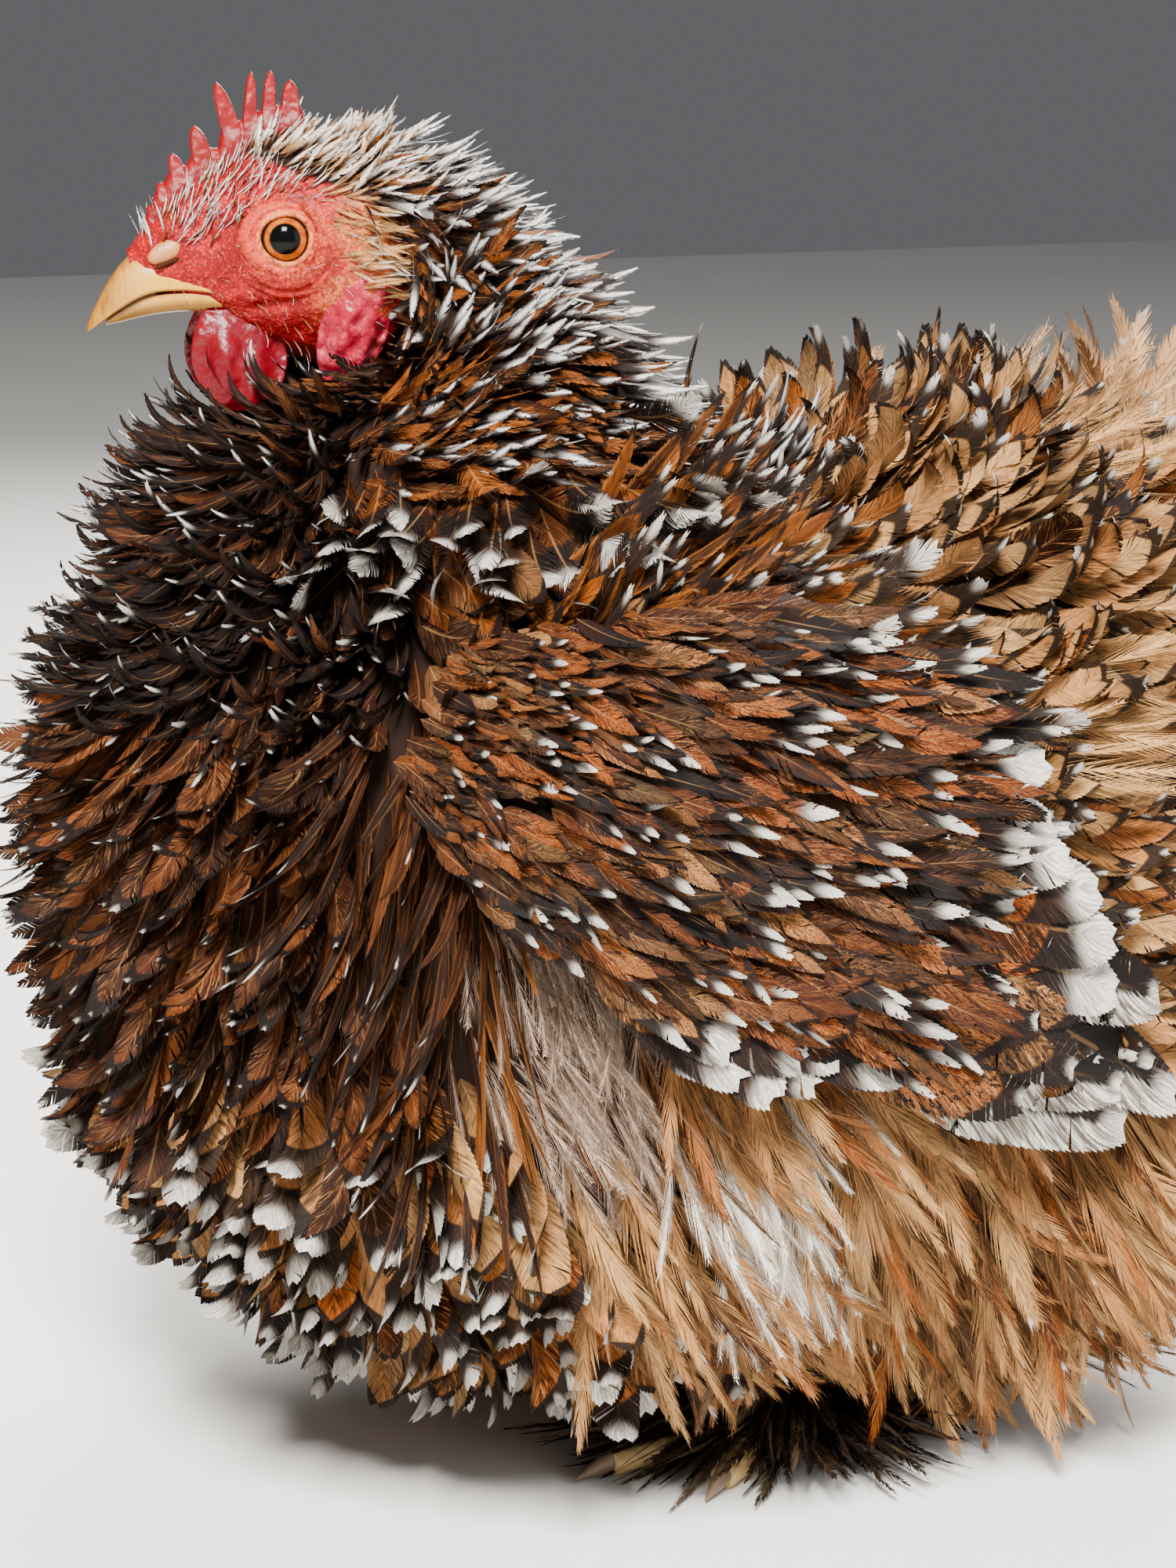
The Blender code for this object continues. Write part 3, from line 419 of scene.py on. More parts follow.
class Recipe:
    """Builds one material from nodes."""

    def __init__(self, name: str, roughness: float, **constants: object) -> None:
        """Starts a Principled material and sets what is the same all over it.

        Args:
            name: the material's name.
            roughness: its roughness.
            constants: other sockets' values, spaces in their names written as underscores.
        """
        self.material = bpy.data.materials.new(name)
        self.material.use_nodes = True
        self.nodes, self.links = self.material.node_tree.nodes, self.material.node_tree.links
        self.shader = self.nodes["Principled BSDF"]
        self.shader.inputs["Roughness"].default_value = roughness
        for label, value in constants.items():
            self.shader.inputs[label.replace("_", " ")].default_value = value

    def node(self, kind: str, settings: dict | None = None, sockets: dict | None = None,
             output: int | str = 0) -> Tone:
        """Adds a node.

        Args:
            kind: its type.
            settings: its own properties.
            sockets: values or links of its inputs, by number or name.
            output: which output is given back.

        Returns:
            That output.
        """
        made = self.nodes.new(kind)
        for label, value in (settings or {}).items():
            setattr(made, label, value)
        for label, value in (sockets or {}).items():
            self.feed(made.inputs[label], value)
        return Tone(self, made.outputs[output])

    def feed(self, socket: bpy.types.NodeSocket, value: object) -> None:
        """Links a tone to a socket or sets the socket's own value."""
        if isinstance(value, Tone):
            self.links.new(value.socket, socket)
        elif isinstance(value, tuple) and len(value) == 3 and socket.type == "RGBA":
            socket.default_value = (*value, 1.0)
        else:
            socket.default_value = value

    def blend(self, first: object, second: object, share: object) -> Tone:
        """A mix of two colours."""
        return self.node("ShaderNodeMix", {"data_type": "RGBA"}, {0: share, 6: first, 7: second}, 2)

    def laid(self, ground: object, *layers: tuple) -> Tone:
        """A ground with colours laid over it one after another, each given with its share."""
        for colour, share in layers:
            ground = self.blend(ground, colour, share)
        return ground

    def tint(self, label: str) -> Tone:
        """A number that the mesh carries."""
        return self.node("ShaderNodeAttribute", {"attribute_name": label}, None, "Fac")

    def pair(self, label: str) -> tuple:
        """The two parts of a UV map."""
        where = self.node("ShaderNodeUVMap", {"uv_map": label})
        parts = self.node("ShaderNodeSeparateXYZ", None, {0: where}, 0)
        return parts, Tone(self, parts.socket.node.outputs[1])

    def spot(self) -> Tone:
        """Object coordinates, in metres."""
        return self.node("ShaderNodeTexCoord", None, None, "Object")

    def vector(self, x: object, y: object, z: object) -> Tone:
        """A vector of three values."""
        return self.node("ShaderNodeCombineXYZ", None, {0: x, 1: y, 2: z})

    def noise(self, where: Tone, scale: float, detail: float = 2.0, rough: float = 0.5) -> Tone:
        """Cloudy noise of 0 to 1."""
        return self.node("ShaderNodeTexNoise", None,
                         {"Vector": where, "Scale": scale, "Detail": detail, "Roughness": rough}, 0)

    def cells(self, where: Tone, scale: float) -> Tone:
        """Distance to the nearest of scattered points."""
        return self.node("ShaderNodeTexVoronoi", None, {"Vector": where, "Scale": scale}, 0)

    def finish(self, colour: Tone, height: Tone | None = None, depth: float = 0.0002,
               strength: float = 0.5, roughness: Tone | None = None) -> Material:
        """Feeds the shader.

        Args:
            colour: base colour.
            height: relief of 0 to 1, if any.
            depth: the relief's depth in metres.
            strength: how much of the relief is used.
            roughness: roughness where it varies.

        Returns:
            The finished material.
        """
        self.feed(self.shader.inputs["Base Color"], colour)
        if height is not None:
            bump = self.node("ShaderNodeBump", None,
                             {"Strength": strength, "Distance": depth, "Height": height})
            self.feed(self.shader.inputs["Normal"], bump)
        if roughness is not None:
            self.feed(self.shader.inputs["Roughness"], roughness)
        return self.material


@dataclass(frozen=True)
class Plumage:
    """The colours of a kind of feather: its ground from deep to buff, its black bar and its white spangle;
    deep is also the painted shade over every feather's root.

    Pepper is how much black is sprinkled over it, rimmed how far the white leaves the sides bare, and fringe
    how buff the sides are.
    """

    name: str
    ground: tuple = (0.24, 0.056, 0.004)
    deep: tuple = (0.018, 0.005, 0.0018)
    buff: tuple = (0.62, 0.34, 0.13)
    black: tuple = (0.007, 0.005, 0.0045)
    white: tuple = (0.68, 0.64, 0.58)
    grey: tuple = (0.10, 0.078, 0.062)
    pepper: float = 0.25
    shine: float = 0.07
    rimmed: float = 0.0
    fringe: float = 0.0

    def material(self) -> Material:
        """Draws the feather in its own map: a soft white tip barred by its barbs, a black bar under it that
        runs up the rim, a streaked ground peppered with black, a white lower edge, a paler shaft and painted
        shade over its root, where the feathers lying over it would shadow it."""
        r = Recipe(self.name, 0.6, Specular_IOR_Level=self.shine)
        u, v = r.pair("Vane")
        x = abs(u * 2.0 - 1.0)
        dice, tip, band, edge = r.tint("dice"), r.tint("tip"), r.tint("band"), r.tint("edge")
        barb = v - x * 0.22
        streak = r.noise(r.vector(barb * 46.0, x * 1.5, dice * 57.0), 1.0, 2.0, 0.6)
        hair = r.noise(r.vector(barb * 150.0, u * 3.0, dice * 71.0), 1.0, 1.0, 0.5)
        cloud = r.noise(r.vector(u * 3.0, v * 5.0, dice * 91.0), 1.0, 3.0, 0.6)
        fleck = r.noise(r.vector(u * 22.0, barb * 60.0, dice * 33.0), 1.0, 2.0, 0.7)
        patchy = (cloud * 1.3 - 0.2 + (streak - 0.5) * 2.0 + (hair - 0.5) * 0.9 + (dice - 0.5) * 0.9
                  - x * x * 0.2).eased(0.05, 1.0)
        peppered = fleck.eased(0.53, 0.58) * self.pepper * r.tint("pepper") * v.eased(0.25, 0.5)
        colour = r.laid(self.deep, (self.ground, patchy),
                        (self.buff, (streak * 0.7 + hair * 0.3).eased(0.52, 0.66) * 0.30),
                        (self.buff, r.tint("pale") * (hair * 0.5 + streak * 0.9 + cloud * 0.5)),
                        (self.deep, (streak * 0.6 + hair * 0.4).eased(0.49, 0.38) * 0.62),
                        (self.black, peppered),
                        (self.black, r.tint("dark") * (0.42 + cloud * 1.0 + x * x * 0.3)),
                        # Painted shade: every feather darkens to deep towards its root, as if shadowed by the
                        # feathers over it.
                        (self.deep, v.eased(0.60, 0.20) * 0.62))
        if self.fringe:
            colour = r.blend(colour, self.buff, (x + (hair - 0.5) * 0.4).eased(0.45, 0.95) * self.fringe)
        end = (v - x * x * 0.07).eased(1.0 - tip, 1.01)
        under = (v + x * x * 0.12).eased(0.99 - tip - band, 1.04 - tip - band * 0.4)
        ragged = (hair - 0.5) * 0.5 + (streak - 0.5) * 0.7
        barred = (hair * 0.35 + streak * 0.65).eased(0.36, 0.58)
        white = r.blend(self.white, self.grey, barred * (1.0 - end * 0.4))
        inner = 1.0 - (x + (hair - 0.5) * 0.4).eased(0.42, 0.66) * self.rimmed
        tipped = ((end + ragged).eased(0.04, 0.48) * v.eased(0.98 - tip, 1.0 - tip) * inner
                  * tip.eased(0.01, 0.03))
        edged = (1.0 - u + (hair - 0.5) * 0.3).eased(1.0 - edge, 1.05 - edge) * edge.eased(0.0, 0.1)
        colour = r.laid(colour,
                        (self.black, (under + ragged * 0.6).eased(0.25, 0.65) * band.eased(0.0, 0.02) * 0.96),
                        (white, tipped), (white, edged),
                        (self.buff, x.eased(0.08, 0.02) * v.eased(0.9, 0.5) * 0.16))
        return r.finish(colour, hair * 0.6 + streak * 0.4, 0.00022, 0.55)


@dataclass(frozen=True)
class Flesh:
    """Bare red skin that passes into feathered skin, which is painted near black as the shade under the
    feathers; the mesh says where by its numbers bare and peach.
    """

    red: tuple = (0.16, 0.001, 0.003)
    pink: tuple = (0.42, 0.011, 0.011)
    peach: tuple = (0.58, 0.17, 0.045)
    dark: tuple = (0.15, 0.003, 0.005)
    # coat is painted shade: the feathered skin is near black so that gaps between feathers read as shadow.
    coat: tuple = (0.012, 0.005, 0.003)

    def material(self) -> Material:
        """Fine papillae over red, paler on their tops, with painted shade in the creases and between the
        papillae, peach towards the cheek.
        """
        r = Recipe("bare skin", 0.45, Subsurface_Weight=0.08, Subsurface_Radius=(0.003, 0.001, 0.0008),
                   Subsurface_Scale=0.3, Specular_IOR_Level=0.16)
        where, bare = r.spot(), r.tint("bare")
        grain = r.cells(where, 1750.0)
        broad = r.noise(where, 190.0, 4.0, 0.65)
        fine = r.noise(where, 2100.0, 2.0, 0.6)
        crease = r.noise(where, 620.0, 3.0, 0.65)
        colour = r.laid(
            self.red, (self.pink, (broad * 1.5 + grain.eased(0.6, 0.1) * 0.5 - 0.35).eased(0.25, 1.0)),
            (self.peach, r.tint("peach") * (0.10 + broad * 0.7 + grain.eased(0.6, 0.1) * 0.6)),
            # Painted shade: dark laid in the creases of the relief and between the papillae.
            (self.dark, crease.eased(0.50, 0.36) * 0.6 + grain.eased(0.55, 0.9) * 0.4))
        # Painted shade: where feathered, the skin takes the near-black coat colour.
        colour = r.blend(self.coat, colour, bare)
        relief = (grain.eased(0.8, 0.0) * 0.5 + fine * 0.3 + crease * 1.2) * bare
        return r.finish(colour, relief, 0.00022, 0.7, 0.95 - bare * 0.48)


@dataclass(frozen=True)
class CombFlesh:
    """Comb, wattles and ear lobes: glossy crimson with fine warts and creases."""

    name: str
    red: tuple
    pale: tuple
    gloss: float
    grain: float
    dark: tuple = (0.16, 0.002, 0.006)

    def material(self) -> Material:
        """Warts a little paler on their tops, over cloudy red with painted shade in the creases."""
        r = Recipe(self.name, self.gloss, Subsurface_Weight=0.10, Subsurface_Radius=(0.003, 0.0008, 0.0008),
                   Subsurface_Scale=0.3, Specular_IOR_Level=0.28)
        where = r.spot()
        warts = r.cells(where, self.grain)
        broad = r.noise(where, 260.0, 4.0, 0.65)
        crease = r.noise(where, 700.0, 3.0, 0.6)
        cloudy = (warts.eased(0.6, 0.05) * 0.35 + r.tint("pale") * 0.9 + (broad - 0.5) * 1.2
                  + (crease - 0.5) * 0.5).eased(0.15, 1.1)
        # Painted shade: dark laid in the creases of the relief.
        colour = r.laid(self.red, (self.pale, cloudy), (self.dark, crease.eased(0.48, 0.34) * 0.6))
        return r.finish(colour, warts * 0.4 + crease, 0.00018, 0.6)


@dataclass(frozen=True)
class Iris:
    """The eyeball by degrees from its gaze: a black pupil, an amber iris with a dark rim, dark round it."""

    deep: tuple = (0.20, 0.034, 0.002)
    amber: tuple = (0.40, 0.10, 0.005)
    rim: tuple = (0.05, 0.010, 0.002)
    inner: tuple = (0.09, 0.018, 0.003)
    black: tuple = (0.002, 0.002, 0.002)
    beyond: tuple = (0.010, 0.005, 0.004)
    pupil: float = 28.5
    edge: float = 44.5

    def material(self) -> Material:
        """Cloudy amber, darker next to the pupil and at the rim, under a clear coat."""
        r = Recipe("eye", 0.10, Coat_Weight=0.10, Coat_Roughness=0.01, Specular_IOR_Level=0.05)
        _, v = r.pair("Gaze")
        degrees = v * 180.0
        cloud = r.noise(r.spot(), 900.0, 3.0, 0.6)
        iris = r.laid(self.deep, (self.amber, (cloud * 1.3 - 0.15).eased(0.2, 0.8)),
                      (self.rim, degrees.eased(self.edge - 4.5, self.edge + 0.5)),
                      (self.inner, degrees.eased(self.pupil + 4.5, self.pupil + 0.5) * 0.8))
        return r.finish(r.laid(self.black, (iris, degrees.eased(self.pupil, self.pupil + 1.5)),
                               (self.beyond, degrees.eased(self.edge, self.edge + 2.5))))


@dataclass(frozen=True)
class BeakHorn:
    """The beak's horn: tan at the root and down the ridge, cream with a painted highlight on the sides,
    yellow along the edge.
    """

    tan: tuple = (0.16, 0.050, 0.003)
    ivory: tuple = (0.38, 0.175, 0.014)
    ridge: tuple = (0.20, 0.062, 0.010)
    cream_and_highlight: tuple = (0.60, 0.33, 0.10)
    yellow: tuple = (0.58, 0.27, 0.003)
    flush: tuple = (0.40, 0.09, 0.02)

    def material(self) -> Material:
        """Laid out by place round the arch and along the beak, with fine growth lines round it."""
        r = Recipe("beak horn", 0.36, Coat_Weight=0.15, Specular_IOR_Level=0.35)
        u, v = r.pair("Arch")
        ridge = abs(u - 0.5)
        cloud = r.noise(r.spot(), 260.0, 3.0, 0.6)
        lines = r.noise(r.vector(v * 60.0, u * 3.0, 0.0), 1.0, 2.0, 0.6)
        sides = (ridge + (lines - 0.5) * 0.1).eased(0.16, 0.27)
        colour = r.laid(self.tan, (self.ivory, (cloud * 0.7 + lines * 0.6).eased(0.3, 0.9)),
                        (self.ridge, (ridge + (cloud - 0.5) * 0.12).eased(0.17, 0.03) * 0.8),
                        # Cream on the sides: partly the horn's own colour, partly a painted highlight.
                        (self.cream_and_highlight, sides * v.eased(0.95, 0.6) * 0.55),
                        (self.yellow, ridge.eased(0.32, 0.42) * v.eased(0.85, 0.5) * 0.9),
                        (self.flush, (v + (cloud - 0.5) * 0.2).eased(0.30, 0.10) * 0.7))
        return r.finish(colour, lines + cloud * 0.5, 0.00012, 0.5)


@dataclass(frozen=True)
class Horn:
    """Plain horn of two cloudy colours: scales, claws and nostrils; relief is its bumps' scale, if any."""

    name: str
    dark: tuple
    pale: tuple
    roughness: float
    grain: float
    detail: float = 3.0
    relief: float = 0.0
    scaly: bool = False
    specular: float = 0.5

    def material(self) -> Material:
        """Clouds of the two colours, over scales or fine grain where it has relief."""
        r = Recipe(self.name, self.roughness, Specular_IOR_Level=self.specular)
        where = r.spot()
        colour = r.blend(self.dark, self.pale, r.noise(where, self.grain, self.detail))
        if not self.relief:
            return r.finish(colour)
        bumps = r.cells(where, self.relief) if self.scaly else r.noise(where, self.relief, 3.0)
        return r.finish(colour, bumps, 0.0003, 0.6)


# Feathers


@dataclass(frozen=True)
class Cut:
    """The outline of a feather and how its web is cut, in shares of its length and half width.

    Barbs is the number of clumps on a side, and closed how far out they hold together. Slope is how much they
    slant forwards, fray how unevenly they end, and splits how many stand apart. The outline starts at base;
    shoulder and point set how late and how bluntly it closes.
    """

    barbs: int = 11
    closed: float = 0.74
    slope: float = 0.13
    fray: float = 0.10
    shoulder: float = 3.0
    point: float = 0.7
    base: float = 0.35
    splits: float = 0.25

    def half_width(self, v: Array) -> Array:
        """Share of the half width at v: rises from the base, then (1 - v^shoulder)^point."""
        rise = self.base + (1 - self.base) * ease(v, 0.0, 0.38)
        return rise * np.maximum(1 - np.clip(v, 0, 1) ** self.shoulder, 0) ** self.point

    def reached(self, v: Array, share: float) -> tuple:
        """Where barbs that leave the shaft at v end: v' = v + slope * share * half width at v', by repeats.

        Args:
            v: shares of the length.
            share: how far out, as a share of the outline.

        Returns:
            Their ends along and across the feather.
        """
        end = v
        for _ in range(4):
            end = (end + v + self.slope * share * self.half_width(end)) / 2
        return end, share * self.half_width(end)

    def template(self, count: int, dice: Dice) -> tuple:
        """Feathers as a shaft with clumps of barbs that slant forwards and end in points.

        Args:
            count: how many feathers.
            dice: random numbers.

        Returns:
            v along and x across (in half widths) of each feather's points, the same for the pattern,
            and the quads and triangles of one feather.
        """
        k = self.barbs
        edges = 0.03 + 0.935 * np.linspace(0, 1, k + 1) ** 0.72
        shaft_v, shaft_x = np.append(edges, 1.03), np.zeros(k + 2)
        low, high = edges[:-1], edges[1:]
        loose = 1 + self.fray * dice.normal(size=(count, 2, k))
        v_list, x_list, x_flat = ([np.broadcast_to(line, (count, k + 2))]
                                  for line in (shaft_v, shaft_x, shaft_x))
        quads, tris = [], []
        j = np.arange(k)
        for number, sign in enumerate((-1, 1)):
            wild = loose[:, number]
            split = (high - low) * (0.04 + 0.5 * (dice.uniform(size=(count, k)) < self.splits))
            shaken = dice.normal(size=(2, count, k)) * self.fray
            (d_v, d_x), (c_v, c_x), (e_v, e_x) = (self.reached(at, share) for at, share in (
                (low, self.closed), (high, self.closed), (high * 0.6 + low * 0.4, 1.0)))
            d_v, c_v = d_v + shaken[0] * 0.03, c_v - split
            e_v = e_v + 0.25 * (1.02 - e_v) * (wild - 1) + 0.012 + (shaken[1] * 0.08)
            d_x, c_x, e_x = (sign * np.maximum(w, 0.015) * (0.7 + 0.3 * wild) for w in (d_x, c_x, e_x))
            v_list += [np.minimum(d_v, 1.0), np.minimum(c_v, 1.02), np.minimum(e_v, 1.03)]
            x_list += [d_x, c_x, e_x]
            x_flat += [sign * self.closed + 0 * d_x, sign * self.closed + 0 * c_x, sign + 0 * e_x]
            first = k + 2 + number * 3 * k
            d, c, e = first + j, first + k + j, first + 2 * k + j
            order = slice(None, None, -sign)
            quads.append(np.stack([j, j + 1, c, d], -1)[:, order])
            tris.append(np.stack([d, c, e], -1)[:, order])
        return (np.concatenate(v_list, 1), np.concatenate(x_list, 1), np.concatenate(x_flat, 1),
                np.concatenate(quads), np.concatenate(tris))


@dataclass
class Flock:
    """Feathers to be made at once: where each grows, how it lies, its size and its markings."""

    root: Array
    normal: Array
    lie: Array
    spread: Array
    length: Array
    half_width: Array
    lift: Array
    curl: Array
    sway: Array
    roll: Array
    camber: float
    marks: dict
    gather: float = 1.8

    def points(self, v: Array, x: Array) -> Array:
        """Places the points: a feather leaves the skin at its lift and turns away by curl * v^gather, its
        shaft is the integral of that direction, and its web droops by x^2.

        Args:
            v: shares of the length, feathers by points.
            x: places across, in half widths.

        Returns:
            Points in the bird's frame, feathers by points by 3.
        """
        start, bend = np.radians(self.lift)[:, None], np.radians(self.curl)[:, None]
        slope = start + bend * np.clip(v, 0, None) ** self.gather
        ahead, above = np.zeros_like(v), np.zeros_like(v)
        for place, weight in zip(*np.polynomial.legendre.leggauss(6)):
            passed = start + bend * np.clip(v * (1 + place) / 2, 0, None) ** self.gather
            ahead += weight / 2 * v * np.cos(passed) * self.length[:, None]
            above += weight / 2 * v * np.sin(passed) * self.length[:, None]
        lie, normal = self.lie[:, None], self.normal[:, None]
        aside = np.cross(self.normal, self.lie)[:, None]
        up = -np.sin(slope)[..., None] * lie + np.cos(slope)[..., None] * normal
        turn = np.radians(self.roll)[:, None, None]
        across = np.cos(turn) * aside + np.sin(turn) * up
        facing = np.cos(turn) * up - np.sin(turn) * aside
        wide = x * self.half_width[:, None]
        drift = (self.sway * self.length)[:, None] * v**2
        sag = -self.camber * x**2 * self.half_width[:, None]
        return (self.root[:, None] + lie * ahead[..., None] + normal * above[..., None]
                + aside * drift[..., None] + across * wide[..., None] + facing * sag[..., None])


def kept_up(points: Array) -> Array:
    """Lays what would pass the floor on it and presses in what stands far out, by give * exp(-depth / give).

    Args:
        points: the feathers' points, which are changed.

    Returns:
        The same points.
    """
    y, z = points[..., 1], points[..., 2]
    out, give = np.maximum(np.abs(y) - SIDE_LIMIT, 0), FLOOR_BAND - FLOOR_CLEAR
    points[..., 1] = y - np.sign(y) * (out - SIDE_GIVE * (1 - np.exp(-out / SIDE_GIVE)))
    laid = FLOOR_CLEAR + give * np.exp(np.minimum(z - FLOOR_BAND, 0) / give)
    points[..., 2] = np.where(z < FLOOR_BAND, laid, z)
    return points


def feather_piece(name: str, batches: list) -> Object:
    """Joins batches of feathers in one mesh.

    Args:
        name: the piece's name.
        batches: tuples of points (feathers, points, 3), v, x flat, root maps, faces (quads, tris), marks.

    Returns:
        The new object.
    """
    points, vane, bake, quads, tris, start = [], [], [], [], [], 0
    marks: dict = {}
    for place, v, x, spread, faces, tint in batches:
        count, size = v.shape
        points.append(place.reshape(-1, 3))
        pair = np.stack([0.5 + 0.5 * x, v], -1)
        vane.append(pair.reshape(-1, 2))
        bake.append((spread[:, None] + (pair - 0.5) * TUFT_PATCH).reshape(-1, 2))
        offsets = start + np.arange(count)[:, None, None] * size
        quads.append((faces[0][None] + offsets).reshape(-1, 4))
        tris.append((faces[1][None] + offsets).reshape(-1, 3))
        for label, values in tint.items():
            marks.setdefault(label, []).append(np.repeat(values, size))
        start += count * size
    blocks = [block for block in (np.concatenate(quads), np.concatenate(tris)) if len(block)]
    return add_piece(name, np.concatenate(points), blocks,
                     {"Vane": np.concatenate(vane), "OFBake": np.concatenate(bake)},
                     {label: np.concatenate(values) for label, values in marks.items()})


def flock_batch(flock: Flock, cut: Cut, dice: Dice) -> tuple:
    """One batch of feather_piece from a flock."""
    v, x, flat, quads, tris = cut.template(len(flock.root), dice)
    return kept_up(flock.points(v, x)), v, flat, flock.spread, (quads, tris), flock.marks


class Form(Enum):
    """The forms on which landmarks lie: by turn and lift, by share and angle, or by mm forward and angle."""

    BODY = "body"
    NECK = "neck"
    HEAD = "head"

    def place(self, first: float, second: float, side: Side) -> Array:
        """A landmark's point on the form, on one side of the bird."""
        if self is Form.BODY:
            return over_body(first, second, 0.0, side.value)
        over = over_neck if self is Form.NECK else over_head
        return over(first, second * side.value, 0.0)


BODY, NECK, HEAD = Form


@dataclass(frozen=True)
class Patch:
    """A region of the coat: where it is, how its feathers grow and how they are marked.

    The nearest landmark, by distance over reach, owns a root. Flow is how far back, outwards and up feathers
    point. Tip, band, dark, pale and pepper are the shares of white, black bar, darkness, buff and peppering,
    chance how many have a tip, bald how far from its landmarks it grows on bare skin. Lengths are mm, angles
    degrees, and sway is a share of the length.
    """

    piece: str
    marks: dict
    reach: float
    spacing: float
    length: float
    half_width: float
    lift: float
    curl: float
    flow: tuple
    cut: Cut
    tip: float
    chance: float
    band: float
    dark: float
    pale: float
    roll: float = 16.0
    sway: float = 0.0
    pepper: float = 1.0
    bald: float = 0.0

    def landmarks(self) -> Array:
        """The places of the patch's landmarks on both sides of the bird."""
        return np.array([form.place(first, second, side) for form, spots in self.marks.items()
                         for first, second in spots for side in Side])


SPIKY = Cut(barbs=6, closed=0.70, slope=0.22, fray=0.12, shoulder=2.4, point=0.9)
HACKLE = Cut(barbs=9, closed=0.84, slope=0.20, fray=0.08, shoulder=2.4, point=0.85, splits=0.15)
LEAF = Cut(barbs=21, closed=0.93, slope=0.16, fray=0.06, shoulder=2.6, point=0.72, splits=0.12)
ROUND = Cut(barbs=22, closed=0.96, slope=0.13, fray=0.025, shoulder=6.0, point=0.55, splits=0.05)
LOOSE = Cut(barbs=16, closed=0.40, slope=0.34, fray=0.22, shoulder=2.2, point=0.7, splits=0.6)
FLUFF = Cut(barbs=16, closed=0.16, slope=0.60, fray=0.35, shoulder=2.2, point=0.6, splits=1.0)
WISP = Cut(barbs=7, closed=0.3, slope=0.6, fray=0.3, shoulder=2.2, point=0.8, splits=0.6)
BRUSH = Cut(barbs=24, closed=0.62, slope=0.30, fray=0.12, shoulder=4.5, point=0.6, splits=0.5)
SOFT = Cut(barbs=16, closed=0.42, slope=0.50, fray=0.25, shoulder=2.4, point=0.8, base=0.5, splits=0.4)
PLUME = Cut(barbs=20, closed=0.80, slope=0.20, fray=0.07, shoulder=3.0, point=0.8, base=0.5, splits=0.15)
HAIR = Cut(barbs=3, closed=0.8, slope=0.25, fray=0.2, shoulder=2.0, point=0.9, base=0.6)

